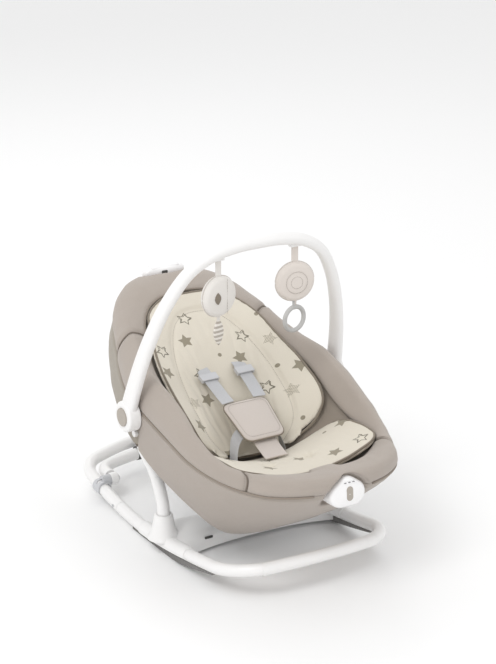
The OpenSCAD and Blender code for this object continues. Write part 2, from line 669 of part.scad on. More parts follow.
module strap_adjuster_left() {
    color(pale) settled() mirror([1, 0, 0]) strap_adjuster();
}
module strap_adjuster_right() {
    color(pale) settled() strap_adjuster();
}
harness_tilt = 27;
harness_c = place([0, -97, 252]);
module harness_pad() {
    color(taupe) settled() translate(harness_c) rotate([harness_tilt, 0, 0])
        translate([0, 0, 1]) linear_extrude(8) hull()
            for (q = [[-44, -48], [44, -48], [-51, 48], [51, 48]]) translate(q) circle(r = 6, $fn = 24);
}
buckle_drop = -16;
module buckle() {
    color(pale) settled() translate(harness_c) rotate([harness_tilt, 0, 0]) translate([0, 0, buckle_drop]) difference() {
        linear_extrude(13) hull() for (x = [-15, 15]) for (y = [-15, 15]) translate([x, y]) circle(r = 6, $fn = 24);
        translate([0, 0, 5]) cylinder(h = 12, r = 9 + move_gap, $fn = 48);
    }
}
module buckle_button() {
    color(dark) settled() translate(harness_c) rotate([harness_tilt, 0, 0]) translate([0, 0, buckle_drop])
        translate([0, 0, 8.5]) cylinder(h = 5, r = 9, $fn = 48);
}
module waist_straps() {
    color(pale) settled() both_sides() waist_strap();
}
waist_route = [[96, -104, 240], [82, -106, 238], [60, -104, 238], [40, -101, 239], [22, -100, 240]];
module waist_strap() {
    p = open_curve([for (q = waist_route) place(q)], 3);
    skin([for (i = [0:len(p) - 1]) let (h = heading(p, i, false), up = [0, -sin(harness_tilt), cos(harness_tilt)], w = unit(cross(h, up)))
        [p[i] - w * web_w / 2 - up * web_t / 2, p[i] + w * web_w / 2 - up * web_t / 2,
         p[i] + w * web_w / 2 + up * web_t / 2, p[i] - w * web_w / 2 + up * web_t / 2]]);
}
crotch_route = [for (q = [[0, -180, 209], [0, -168, 213], [0, -150, 220], [0, -132, 228], [0, -114, 236]]) place(q)];
module crotch_strap() {
    color(taupe) settled() web(crotch_route, 50, 6);
}

// ---- Vibration unit on the front of the pod ----
module unit_outline(grow) {
    hull() {
        translate([0, 5]) circle(r = unit_h / 2 - 5 + grow, $fn = 48);
        for (x = [-1, 1]) translate([x * (unit_w / 2 - 24), -3]) circle(r = 24 + grow, $fn = 48);
    }
}
// Turned so that the unit's face looks out of the pod's front
module on_unit() {
    translate([0, unit_y, unit_z]) rotate([90 - unit_tilt, 0, 0]) children();
}
// Opening in the cover that the unit sits in
module unit_opening() {
    on_unit() translate([0, 0, -unit_back - 20]) linear_extrude(unit_back + unit_depth + 40) unit_outline(0.5);
}
selector_r = 16;
module unit_housing() {
    color(white) settled() on_unit() difference() {
        translate([0, 0, -unit_back]) linear_extrude(unit_back + unit_depth - 4) unit_outline(0);
        translate([0, 0, -unit_back - 1]) linear_extrude(unit_back + unit_depth - 6) unit_outline(-3);
        translate([0, 0, unit_depth - 12]) cylinder(h = 20, r = selector_r + move_gap, $fn = 64);
    }
}
module battery_door() {
    color(white) settled() on_unit() translate([0, 0, -unit_back]) linear_extrude(2.4) unit_outline(-3.3);
}
module batteries() {
    color(steel) settled() on_unit() for (x = [-8, 8]) translate([x, -22.5, -unit_back + 10])
        rotate([-90, 0, 0]) cylinder(h = 44.5, r = 5.25, $fn = 32);
}
motor_c = [24, -14, 2];
module vibration_motor() {
    color(steel) settled() on_unit() translate(motor_c) rotate([-90, 0, 0])
        difference() {
            cylinder(h = 18, r = 6, $fn = 32);
            translate([0, 0, 12]) cylinder(h = 8, r = 1.05, $fn = 32);
        }
}
module motor_weight() {
    color(dark) settled() on_unit() translate(motor_c) rotate([-90, 0, 0]) {
        translate([0, 0, 12.5]) cylinder(h = 12, r = 1, $fn = 32);
        translate([0, 0, 19]) intersection() {
            cylinder(h = 5, r = 5, $fn = 32);
            translate([-6, -6, -1]) cube([12, 7, 8]);
        }
    }
}
module selector() {
    color(taupe) settled() on_unit() {
        translate([0, 0, unit_depth - 11]) cylinder(h = 7.5, r = selector_r, $fn = 64);
        translate([0, 0, unit_depth - 4]) linear_extrude(4) hull()
            for (y = [-7, 7]) translate([0, y]) circle(r = 7, $fn = 32);
    }
}

// ---- Toy bar ----
function on_bar(x, h) = [x, hub_y - h * sin(bar_lean), hub_z + h * cos(bar_lean)];
knob_mid = knob_x + knob_w / 2;
bar_half = [[knob_mid, 24], [knob_mid - 4, 60], [knob_mid - 13, 120], [knob_mid - 28, 185], [knob_mid - 51, 250],
    [knob_mid - 86, bar_h - 46], [knob_mid - 133, bar_h - 14], [knob_mid - 185, bar_h - 2], [0, bar_h]];
bar_line = open_curve([for (q = concat(bar_half, [for (i = [len(bar_half) - 2:-1:0]) [-bar_half[i].x, bar_half[i].y]]))
    on_bar(q.x, q.y)], 3);
// The bar is widest at its hubs
bar_widths = [for (i = [0:len(bar_line) - 1]) let (e = min(i, len(bar_line) - 1 - i) / 12, w = max(0, 1 - e))
    [bar_d / 2 - 0.5 + 0.04 * bar_d * w, bar_d / 2 + 0.34 * bar_d * w * w]];
module toy_bar() {
    color(white) settled() skin(rings(bar_line, bar_widths, [0, -cos(bar_lean), -sin(bar_lean)], 12));
}
module toy_hub() {
    difference() {
        translate([knob_x, hub_y, hub_z]) rotate([0, 90, 0]) rotate_extrude($fn = 64)
            polygon([[0, 0], [knob_r - 2, 0], [knob_r, 2], [knob_r, knob_w - 8], [knob_r - 3, knob_w - 3],
                [knob_r - 8, knob_w], [0, knob_w]]);
        across(knob_x - 1, knob_x + 10.5, pin_d / 2 + run_gap, hub_y, hub_z);
        across(knob_x + knob_w - 8, knob_x + knob_w + 1, cap_r + move_gap, hub_y, hub_z, 64);
    }
}
module toy_hub_left() {
    color(white) settled() mirror([1, 0, 0]) toy_hub();
}
module toy_hub_right() {
    color(white) settled() toy_hub();
}
module release_button() {
    across(knob_x + knob_w - 3.4, knob_x + knob_w + cap_out, cap_r, hub_y, hub_z, 64);
}
module release_button_left() {
    color(taupe) settled() mirror([1, 0, 0]) release_button();
}
module release_button_right() {
    color(taupe) settled() release_button();
}

// ---- Hanging toys ----
toy_x = toy_gap / 2;
hang = on_bar(toy_x, bar_h - 12 - bar_d / 2);
strap_len = 32;
toy_c = [toy_x, hang.y, hang.z - strap_len - toy_d / 2];
module toy_strap() {
    block([toy_c.x - 4.5, hang.y - 1, toy_c.z + toy_d / 2 - 3], [toy_c.x + 4.5, hang.y + 1, hang.z - 0.5]);
}
toy_t = 25;
// Puffed disc whose faces look along X by turn degrees
module toy_disc(turn) {
    translate(toy_c) rotate([0, 0, turn]) rotate([90, 0, 0]) rotate_extrude($fn = 64)
        polygon([for (k = [-6:6]) [sqrt(1 - pow(k / 6, 2)) * 16 + toy_d / 2 - 16, toy_t / 2 * k / 6],
            each [[0, toy_t / 2], [0, -toy_t / 2]]]);
}
ring_mean_r = 24;
ring_wire = 4.5;
link_z = toy_c.z - toy_d / 2 - 6;
module toy_tab() {
    block([toy_c.x - 3, toy_c.y - 1, link_z - 2], [toy_c.x + 3, toy_c.y + 1, toy_c.z - toy_d / 2 + 3]);
}
module toy_left() {
    color(cream) settled() mirror([1, 0, 0]) {
        toy_strap();
        toy_disc(-12);
        toy_tab();
    }
}
module toy_right() {
    color(cream) settled() {
        toy_strap();
        toy_disc(-10);
        toy_tab();
    }
}
module leaf() {
    color(taupe) settled() translate([-toy_c.x, toy_c.y, link_z - 3]) rotate([90, 0, 12]) translate([0, 0, -1.5])
        linear_extrude(3) intersection() {
            translate([-24, -27]) circle(r = 36, $fn = 64);
            translate([24, -27]) circle(r = 36, $fn = 64);
        }
}
module teether_ring() {
    color(pale) settled() translate([toy_c.x, toy_c.y, link_z - 3 - ring_mean_r - ring_wire]) rotate([90, 0, 8])
        rotate_extrude($fn = 64) translate([ring_mean_r, 0]) circle(r = ring_wire, $fn = 24);
}

rear_base_tube();
front_base_tube();
joint_sleeves();
frame_screws();
crossbar_cover();
crossbar_tray();
anti_slip_strips();
upright_left();
upright_right();
ratchet_discs();
hinge_pins();
kickstand_bar();
kickstand_feet();
kickstand_brackets();
kickstand_pins();
rim_tube();
hub_left();
hub_right();
seat_shell();
back_board();
seat_liner();
head_panel();
side_panel_left();
side_panel_right();
front_panel();
skirt();
back_cover();
snap_fasteners();
lock_pin_left();
lock_pin_right();
recline_cables();
handle_body();
recline_lever();
lever_spring();
back_pad();
seat_pad();
shoulder_strap_left();
shoulder_strap_right();
strap_adjuster_left();
strap_adjuster_right();
waist_straps();
crotch_strap();
buckle();
buckle_button();
harness_pad();
unit_housing();
battery_door();
batteries();
vibration_motor();
motor_weight();
selector();
toy_bar();
toy_hub_left();
toy_hub_right();
release_button_left();
release_button_right();
toy_left();
leaf();
toy_right();
teether_ring();
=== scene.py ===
import bpy
import bmesh
import json
import math
import random
from mathutils import Matrix, Vector, noise
from mathutils.bvhtree import BVHTree
from mathutils.kdtree import KDTree


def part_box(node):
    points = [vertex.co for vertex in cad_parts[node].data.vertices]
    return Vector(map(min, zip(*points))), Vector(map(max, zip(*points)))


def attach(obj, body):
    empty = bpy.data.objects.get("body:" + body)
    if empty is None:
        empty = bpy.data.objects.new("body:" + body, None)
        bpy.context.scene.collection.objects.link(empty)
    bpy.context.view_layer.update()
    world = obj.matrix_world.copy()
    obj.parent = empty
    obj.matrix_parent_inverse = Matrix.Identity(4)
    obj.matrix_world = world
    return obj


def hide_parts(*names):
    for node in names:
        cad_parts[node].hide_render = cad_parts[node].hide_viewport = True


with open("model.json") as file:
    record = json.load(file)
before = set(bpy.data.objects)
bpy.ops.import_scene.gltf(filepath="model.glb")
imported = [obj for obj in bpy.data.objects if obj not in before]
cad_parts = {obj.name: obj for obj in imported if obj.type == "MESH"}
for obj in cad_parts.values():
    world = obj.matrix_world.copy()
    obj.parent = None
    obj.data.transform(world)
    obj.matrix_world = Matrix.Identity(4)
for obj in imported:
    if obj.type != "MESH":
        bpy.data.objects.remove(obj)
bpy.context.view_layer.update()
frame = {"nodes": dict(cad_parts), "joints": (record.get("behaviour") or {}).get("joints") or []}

MM = 0.001
UP = Vector((0, 0, 1))
JOINTS = {joint["name"]: joint for joint in frame["joints"]}
HUB = Vector(JOINTS["seat_recline"]["pos_m"])

# The pod is drawn about its hinge axis, which lies 13 mm behind the rocker's middle, 286 mm up
HUB_OFFSET = Vector((0, -13, 286))


def at(x, y, z):
    """A point given in millimetres about the rocker's middle, in the row frame."""
    return (Vector((x, y, z)) - HUB_OFFSET) * MM + HUB


# ---- Curves ----
def spline_point(a, b, c, d, t):
    return 0.5 * (2 * b + (c - a) * t + (2 * a - 5 * b + 4 * c - d) * t * t
                  + (3 * b - a - 3 * c + d) * t ** 3)


def smooth_curve(points, steps, closed=False):
    """A smooth curve through points, with a number of steps to each span."""
    count = len(points)
    if closed:
        return [spline_point(points[i - 1], points[i], points[(i + 1) % count], points[(i + 2) % count], k / steps)
                for i in range(count) for k in range(steps)]
    last = count - 1
    curve = [spline_point(points[max(i - 1, 0)], points[i], points[i + 1], points[min(i + 2, last)], k / steps)
             for i in range(last) for k in range(steps)]
    return curve + [points[last].copy()]


def rounded_path(points, radii, steps):
    """A polyline whose inner corners are arcs."""
    path = [points[0]]
    for i, radius in enumerate(radii, 1):
        into = (points[i] - points[i - 1]).normalized()
        out = (points[i + 1] - points[i]).normalized()
        turn = into.angle(out)
        start = points[i] - into * radius * math.tan(turn / 2)
        side = (out - into * into.dot(out)).normalized()
        for k in range(steps + 1):
            angle = turn * k / steps
            path.append(start + radius * (math.sin(angle) * into + (1 - math.cos(angle)) * side))
    return path + [points[-1]]


def divided(path, step):
    """A path with its long straight stretches cut up."""
    result = []
    for a, b in zip(path, path[1:]):
        pieces = max(1, math.ceil((b - a).length / step))
        result += [a.lerp(b, k / pieces) for k in range(pieces)]
    return result + [path[-1]]


def headings(path, closed=False):
    count = len(path)
    result = []
    for i in range(count):
        ahead = path[(i + 1) % count] if closed else path[min(i + 1, count - 1)]
        behind = path[i - 1] if closed else path[max(i - 1, 0)]
        result.append((ahead - behind).normalized())
    return result


def smoothstep(t):
    t = max(0.0, min(1.0, t))
    return t * t * (3 - 2 * t)


# ---- Meshes ----
def skin_mesh(name, rings, closed=False, caps=True, lengths=None):
    """A tube through rings of points, with a UV map in metres along and round it."""
    mesh = bpy.data.meshes.new(name)
    count, sides = len(rings), len(rings[0])
    points = [p for ring in rings for p in ring]
    faces, corners = [], []
    along = [0.0]
    for i in range(1, count + 1):
        along.append(along[-1] + (rings[i % count][0] - rings[i - 1][0]).length)
    around = [0.0]
    for k in range(1, sides + 1):
        around.append(around[-1] + (rings[count // 2][k % sides] - rings[count // 2][k - 1]).length)
    for i in range(count if closed else count - 1):
        j = (i + 1) % count
        for k in range(sides):
            m = (k + 1) % sides
            faces.append((i * sides + k, i * sides + m, j * sides + m, j * sides + k))
            corners.append(((along[i], around[k]), (along[i], around[k + 1]),
                            (along[i + 1], around[k + 1]), (along[i + 1], around[k])))
    if caps and not closed:
        for first, turn in ((0, -1), ((count - 1) * sides, 1)):
            order = list(range(sides))[::turn]
            faces.append(tuple(first + k for k in order))
            corners.append(tuple((0.0, 0.0) for _ in order))
    mesh.from_pydata(points, [], faces)
    layer = mesh.uv_layers.new(name="cloth")
    flat = [uv for face in corners for uv in face]
    for loop, uv in zip(layer.data, flat):
        loop.uv = uv
    outward(mesh)
    return mesh


def outward(mesh):
    """Turns every face outwards."""
    work = bmesh.new()
    work.from_mesh(mesh)
    bmesh.ops.recalc_face_normals(work, faces=work.faces)
    if work.calc_volume(signed=True) < 0:
        bmesh.ops.reverse_faces(work, faces=work.faces)
    work.to_mesh(mesh)
    work.free()


def swept(name, path, section, across, closed=False, sizes=None):
    """A section of (side, height) points swept along a path; sizes scales it at each point."""
    rings = []
    turned = headings(path, closed)
    for i, (point, ahead) in enumerate(zip(path, turned)):
        side = ahead.cross(across(i) if callable(across) else across).normalized()
        rise = side.cross(ahead)
        grow = sizes[i] if sizes else (1, 1)
        rings.append([point + side * a * grow[0] + rise * b * grow[1] for a, b in section])
    return skin_mesh(name, rings, closed)


def circle_section(radius, sides=32):
    return [(radius * math.cos(math.tau * k / sides), radius * math.sin(math.tau * k / sides))
            for k in range(sides)]


def superellipse(width, height, power, sides=32):
    section = []
    for k in range(sides):
        c, s = math.cos(math.tau * k / sides), math.sin(math.tau * k / sides)
        section.append((math.copysign(abs(c) ** (2 / power) * width / 2, c),
                        math.copysign(abs(s) ** (2 / power) * height / 2, s)))
    return section


def turned_mesh(name, profile, centre, axis, sides=64):
    """A shape turned from a profile of (radius, distance along the axis)."""
    axis = Vector(axis).normalized()
    side = axis.orthogonal().normalized()
    other = axis.cross(side)
    rings = []
    for k in range(sides):
        angle = math.tau * k / sides
        out = side * math.cos(angle) + other * math.sin(angle)
        rings.append([centre + out * r + axis * d for r, d in profile])
    mesh = skin_mesh(name, rings, closed=True)
    work = bmesh.new()
    work.from_mesh(mesh)
    bmesh.ops.remove_doubles(work, verts=work.verts, dist=1e-6)
    bmesh.ops.recalc_face_normals(work, faces=work.faces)
    work.to_mesh(mesh)
    work.free()
    return mesh


def joined(name, *meshes):
    work = bmesh.new()
    for mesh in meshes:
        work.from_mesh(mesh)
    result = bpy.data.meshes.new(name)
    work.to_mesh(result)
    work.free()
    return result


def mirrored(name, mesh):
    """The same shape on the other side of the pod."""
    result = mesh.copy()
    result.name = name
    result.transform(Matrix.Scale(-1, 4, (1, 0, 0)))
    result.flip_normals()
    return result


def piece(name, mesh, material, body, replaces=(), smooth=True, crease=40):
    """Puts a finished mesh in the scene as a piece of the bouncer."""
    obj = bpy.data.objects.new(name, mesh)
    bpy.context.scene.collection.objects.link(obj)
    mesh.materials.clear()
    mesh.materials.append(material)
    if smooth:
        mesh.shade_smooth()
        if crease:
            mesh.set_sharp_from_angle(angle=math.radians(crease))
    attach(obj, body)
    if replaces:
        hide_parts(*replaces)
    return obj


def baked(obj):
    """Applies an object's modifiers to its mesh."""
    view = bpy.context.view_layer
    view.update()
    result = bpy.data.meshes.new_from_object(obj.evaluated_get(view.depsgraph))
    obj.modifiers.clear()
    old = obj.data
    obj.data = result
    result.name = old.name
    return result


# ---- Shader maths ----
class Field:
    """A socket of a material; arithmetic on it adds Math nodes."""

    def __init__(self, paint, socket):
        self.paint = paint
        self.socket = socket

    def math(self, operation, *others, clamp=False):
        return self.paint.node("ShaderNodeMath", {"operation": operation, "use_clamp": clamp}, (self, *others))

    def __add__(self, other):
        return self.math("ADD", other)

    def __sub__(self, other):
        return self.math("SUBTRACT", other)

    def __mul__(self, other):
        return self.math("MULTIPLY", other)

    def __truediv__(self, other):
        return self.math("DIVIDE", other)

    def __gt__(self, other):
        return self.math("GREATER_THAN", other)

    def __lt__(self, other):
        return self.math("LESS_THAN", other)

    def __rsub__(self, other):
        return self.paint.node("ShaderNodeMath", {"operation": "SUBTRACT"}, (other, self))

    __radd__ = __add__
    __rmul__ = __mul__


class Paint:
    """A material under construction."""

    def __init__(self, name):
        self.material = bpy.data.materials.new(name)
        self.material.use_nodes = True
        self.tree = self.material.node_tree
        self.tree.nodes.clear()

    def node(self, kind, settings=None, values=(), output=0):
        made = self.tree.nodes.new(kind)
        for key, value in (settings or {}).items():
            if key == "stops":
                ramp = made.color_ramp
                while len(ramp.elements) < len(value):
                    ramp.elements.new(0.5)
                for element, (place, colour) in zip(ramp.elements, value):
                    element.position = place
                    element.color = (*colour, 1)
            else:
                setattr(made, key, value)
        for key, value in (values.items() if isinstance(values, dict) else enumerate(values)):
            if isinstance(value, Field):
                self.tree.links.new(value.socket, made.inputs[key])
            elif value is not None:
                made.inputs[key].default_value = value
        return Field(self, made.outputs[output])

    def place(self):
        """The point on the piece, in metres."""
        return self.node("ShaderNodeTexCoord", output="Object")

    def cloth(self):
        """The point on the cloth, from the piece's own UV map, in metres."""
        return self.node("ShaderNodeUVMap", {"uv_map": "cloth"})

    def parts(self, vector):
        split = self.tree.nodes.new("ShaderNodeSeparateXYZ")
        self.tree.links.new(vector.socket, split.inputs[0])
        return [Field(self, out) for out in split.outputs]

    def noise(self, vector, scale, detail=2.0, roughness=0.5):
        return self.node("ShaderNodeTexNoise", None,
                         {"Vector": vector, "Scale": scale, "Detail": detail, "Roughness": roughness})

    def blend(self, factor, a, b):
        return self.node("ShaderNodeMix", {"data_type": "RGBA"},
                         {0: factor, 6: (*a, 1) if isinstance(a, tuple) else a,
                          7: (*b, 1) if isinstance(b, tuple) else b}, output=2)

    def bump(self, height, distance, strength=1.0, normal=None):
        values = {"Height": height, "Distance": distance, "Strength": strength}
        if normal:
            values["Normal"] = normal
        return self.node("ShaderNodeBump", None, values)

    def finish(self, colour, roughness, normal=None, **constants):
        shader = self.tree.nodes.new("ShaderNodeBsdfPrincipled")
        out = self.tree.nodes.new("ShaderNodeOutputMaterial")
        self.tree.links.new(shader.outputs[0], out.inputs[0])
        links = {"Base Color": colour, "Roughness": roughness, "Normal": normal, **constants}
        for key, value in links.items():
            if isinstance(value, Field):
                self.tree.links.new(value.socket, shader.inputs[key])
            elif isinstance(value, tuple):
                shader.inputs[key].default_value = (*value, 1)
            elif value is not None:
                shader.inputs[key].default_value = value
        return self.material


def colour(red, green, blue):
    """A colour from its screen values, 0 to 255."""
    return tuple(((v / 255) / 12.92) if v / 255 <= 0.04045 else ((v / 255 + 0.055) / 1.055) ** 2.4
                 for v in (red, green, blue))


# ---- Finishes ----
def moulded(name, base, roughness=0.42, grain=0.00004, wear=0.05):
    """Moulded plastic: fine spark texture, faint clouding and a rougher skin where it is handled."""
    p = Paint(name)
    spot = p.place()
    clouds = p.noise(spot, 18, 3)
    fine = p.noise(spot, 1500, 2)
    tone = p.blend(clouds * wear, base, tuple(v * 0.8 for v in base))
    rough = p.noise(spot, 60, 4) * 0.16 + (roughness - 0.08)
    return p.finish(tone, rough, p.bump(fine, grain), **{"Specular IOR Level": 0.5, "Coat Weight": 0.05})


def painted(name, base):
    """Powder-coated tube: satin, with slight orange peel."""
    p = Paint(name)
    spot = p.place()
    peel = p.noise(spot, 420, 3)
    clouds = p.noise(spot, 9, 2)
    tone = p.blend(clouds * 0.06, base, tuple(v * 0.84 for v in base))
    rough = p.noise(spot, 45, 3) * 0.14 + 0.25
    return p.finish(tone, rough, p.bump(peel, 0.00005), **{"Specular IOR Level": 0.5, "Coat Weight": 0.12})


def plated(name, base):
    """Plated steel with fine drawn lines."""
    p = Paint(name)
    spot = p.place()
    x, y, z = p.parts(spot)
    lines = p.noise(p.node("ShaderNodeCombineXYZ", None, (x * 40, y * 900, z * 900)), 1, 2)
    rough = lines * 0.25 + 0.22
    tone = p.blend(p.noise(spot, 70, 3) * 0.3, base, tuple(v * 0.7 for v in base))
    return p.finish(tone, rough, p.bump(lines, 0.00002), Metallic=1.0)


def woven(name, base, pitch=0.0011, depth=0.00016, shade=0.10, melange=0.10, sheen=0.25):
    """Plain woven cloth on the piece's own UV map: crossing threads, melange yarn and soft creases."""
    p = Paint(name)
    cloth = p.cloth()
    u, v, _ = p.parts(cloth)
    turn = math.tau / pitch
    warp = (u * turn).math("SINE")
    weft = (v * turn).math("SINE")
    threads = warp * weft * 0.5 + 0.5
    spot = p.place()
    yarn = p.noise(p.node("ShaderNodeCombineXYZ", None, (u * 240, v * 1600, 0)), 1, 3, 0.7)
    patches = p.noise(spot, 16, 4, 0.6)
    dark = tuple(c * (1 - shade) ** 2.2 for c in base)
    light = tuple(min(1, c * (1 + melange)) for c in base)
    tone = p.blend(yarn, dark, light)
    tone = p.blend(patches * 0.18, tone, tuple(c * 0.86 for c in base))
    height = threads + yarn * 0.6 + p.noise(spot, 900, 2) * 0.8
    soft = p.bump(p.noise(spot, 30, 3), 0.0012, 0.5)
    return p.finish(tone, 0.9, p.bump(height, depth, 1.0, soft),
                    **{"Sheen Weight": sheen, "Sheen Roughness": 0.5, "Specular IOR Level": 0.25})


def plush(name, base):
    """Short pile, softly mottled."""
    p = Paint(name)
    spot = p.place()
    pile = p.noise(spot, 700, 4, 0.7)
    patches = p.noise(spot, 60, 3)
    tone = p.blend(pile * 0.35, base, tuple(c * 0.78 for c in base))
    tone = p.blend(patches * 0.15, tone, tuple(c * 0.85 for c in base))
    return p.finish(tone, 0.95, p.bump(pile, 0.0006, 0.8), **{"Sheen Weight": 0.4, "Specular IOR Level": 0.2})


def rubbery(name, base, pitch=0.0):
    """Matt rubber, with cross ribs along Y where a pitch is given."""
    p = Paint(name)
    spot = p.place()
    fine = p.noise(spot, 900, 2)
    height = fine * 0.2
    if pitch:
        x, y, z = p.parts(spot)
        height = height + (y * (math.tau / pitch)).math("SINE")
    tone = p.blend(p.noise(spot, 50, 3) * 0.3, base, tuple(c * 0.7 for c in base))
    return p.finish(tone, p.noise(spot, 80, 2) * 0.2 + 0.55, p.bump(height, 0.0004), **{"Specular IOR Level": 0.35})


WHITE = colour(238, 237, 236)
TAUPE = colour(178, 168, 159)
TAUPE_DARK = colour(122, 112, 102)
MOSS = colour(170, 162, 150)
CREAM = colour(220, 213, 199)
OLIVE = colour(136, 128, 110)
INK = colour(88, 84, 68)

frame_paint = painted("frame_paint", WHITE)
white_plastic = moulded("white_plastic", WHITE)
unit_plastic = moulded("unit_plastic", colour(243, 242, 242), 0.3)
grey_plastic = moulded("grey_plastic", colour(196, 197, 200), 0.35)
dark_plastic = moulded("dark_plastic", colour(70, 68, 66), 0.5)
mark_grey = moulded("mark_grey", colour(120, 120, 122), 0.45)
taupe_plastic = moulded("taupe_plastic", colour(171, 163, 153), 0.45)
shell_plastic = moulded("shell_plastic", colour(205, 208, 210), 0.5)
plated_steel = plated("plated_steel", (0.62, 0.63, 0.64))
drawn_tube = plated("drawn_tube", (0.66, 0.67, 0.68))
cover_cloth = woven("cover_cloth", TAUPE)
back_cloth = woven("back_cover_cloth", MOSS, shade=0.16)
liner_cloth = woven("liner_cloth", colour(148, 138, 127))
webbing_weave = woven("webbing_weave", colour(203, 204, 207), 0.0016, 0.0003, 0.14)
harness_cloth = woven("harness_cloth", colour(208, 199, 192), 0.0009, 0.00014, 0.08)
piping_cloth = woven("piping_cloth", TAUPE_DARK, 0.0008, 0.0001)
cover_piping = woven("cover_piping_cloth", colour(150, 139, 128), 0.0008, 0.0001)
toy_piping = woven("toy_piping_cloth", colour(205, 199, 192), 0.0008, 0.0001)
pad_piping_cloth = woven("pad_piping_cloth", colour(136, 126, 113), 0.0008, 0.0001)
plush_pile = plush("toy_plush", colour(229, 225, 220))
plush_back = plush("toy_plush_back", colour(222, 214, 207))
grip_rubber = rubbery("anti_slip_rubber", colour(128, 126, 124), 0.006)
foot_rubber = rubbery("foot_rubber", colour(84, 82, 80))
ring_rubber = rubbery("teether_rubber", colour(190, 189, 187))
thread = plush("sewing_thread", colour(150, 142, 132))


# ---- Rocking base ----
TUBE = 12.5
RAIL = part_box("rear_base_tube")[1].x / MM - TUBE
UPRIGHT = 199.75
ROCKER_MID, BASE_FRONT, BASE_REAR, STRIP = 15, 325, 300, 3
JOINT_Y, SOCKET_Y = 128, -50


def rail_height(y):
    if y < ROCKER_MID:
        rise = 46 * ((ROCKER_MID - y) / (BASE_FRONT + ROCKER_MID)) ** 1.5
    else:
        rise = 40 * ((y - ROCKER_MID) / (BASE_REAR - ROCKER_MID)) ** 2
    return STRIP + TUBE + rise


def on_rocker(points, radii):
    flat = divided(rounded_path([Vector((x, y, 0)) for x, y in points], radii, 20), 12)
    return [at(p.x, p.y, rail_height(p.y)) for p in flat]


def straight_out(x, y, z, radius, reach, turn=1):
    """A profile's centre and axis for a piece turned about X."""
    return at(x, y, z), Vector((turn, 0, 0))


def base_tubes():
    rear = on_rocker([(-RAIL, JOINT_Y + 1), (-RAIL, BASE_REAR - 4), (0, BASE_REAR + 52),
                      (RAIL, BASE_REAR - 4), (RAIL, JOINT_Y + 1)], [55, 400, 55])
    front = on_rocker([(-RAIL, JOINT_Y), (-RAIL, -BASE_FRONT), (0, -BASE_FRONT - 26),
                       (RAIL, -BASE_FRONT), (RAIL, JOINT_Y)], [92, 900, 92])
    round_tube = circle_section(TUBE * MM, 36)
    for name, path in (("rear_base_tube", rear), ("front_base_tube", front)):
        piece(name + "_bent", swept(name, path, round_tube, UP), frame_paint, "base", [name])


def upright(side):
    route = [(RAIL, SOCKET_Y, 36), (RAIL, SOCKET_Y, 56), (RAIL, SOCKET_Y, 78), (RAIL + 0.5, -46, 108),
             (RAIL + 4, -24, 160), (UPRIGHT - 3, -2, 205), (UPRIGHT, -2, 234), (UPRIGHT, -9, 261)]
    path = smooth_curve([at(*p) for p in route], 8)
    tube = swept("tube", path, circle_section(TUBE * MM, 36), Vector((1, 0, 0)))
    eye = turned_mesh("eye", [(r * MM, d * MM) for r, d in (
        (5.05, -11), (18.5, -11), (20, -9.5), (20, 9.5), (18.5, 11), (5.05, 11), (5.05, -11))],
        at(UPRIGHT, -13, 286), (1, 0, 0))
    neck = swept("neck", [at(UPRIGHT, -11, 255 + 6 * k) for k in range(5)],
                 superellipse(20 * MM, 24 * MM, 4), Vector((0, 1, 0)))
    mesh = joined("upright", tube, eye, neck)
    if side == "left":
        mesh = mirrored("upright", mesh)
    piece("upright_tube_" + side, mesh, frame_paint, "base", ["upright_" + side])


def crossbar():
    """The moulded plate: a waisted arch between the rails, a saddle over each rail and a flared socket."""
    parts = []
    centre_y, low, top = -48, 7, 42
    rings = []
    for k in range(61):
        x = -RAIL + 2 * RAIL * k / 60
        part = abs(x) / RAIL
        front = 44 + 28 * part ** 2.6
        rear = 42 + 30 * part ** 2.6
        ring = []
        for m in range(40):
            c, s = math.cos(math.pi * m / 39), math.sin(math.pi * m / 39)
            reach = (rear if c > 0 else front)
            height = top - 12 * part ** 6
            ring.append(at(x, centre_y + math.copysign(abs(c) ** 0.42, c) * reach,
                           low + (height - low) * abs(s) ** 0.55))
        rings.append(ring)
    parts.append(skin_mesh("plate", rings))
    arch = [(16.5, math.radians(a)) for a in range(-12, 193, 6)] + \
           [(12.7, math.radians(a)) for a in range(192, -13, -6)]
    section = [(r * math.cos(a) * MM, r * math.sin(a) * MM) for r, a in arch]
    saddle = [at(RAIL, y, rail_height(y)) for y in range(-152, 33, 4)]
    ends = len(saddle) - 1
    sizes = [(1 - 0.12 * max(0, 1 - min(i, ends - i) / 3) ** 2,) * 2 for i in range(ends + 1)]
    across = Vector((0, 0, 1))
    over = swept("saddle", saddle, section, across, sizes=sizes)
    collar = turned_mesh("collar", [(r * MM, z * MM) for r, z in (
        (13.1, 34), (34, 30), (30, 33), (26.5, 40), (23.5, 50), (21, 62), (19, 74), (18, 78.2), (17, 79.4),
        (15.4, 79.8), (13.6, 79.2), (13.1, 77.5), (13.1, 34))], at(RAIL, SOCKET_Y, 0), (0, 0, 1))
    for mesh in (over, collar):
        parts += [mesh, mirrored("other", mesh)]
    slot = rounded_box("slot", at(-107, -99.4, 30), (9, 1.5, 2.6), 1.2)
    piece("crossbar_moulding", joined("crossbar", *parts), white_plastic, "base",
          ["crossbar_cover"])
    piece("crossbar_slot", slot, dark_plastic, "base")


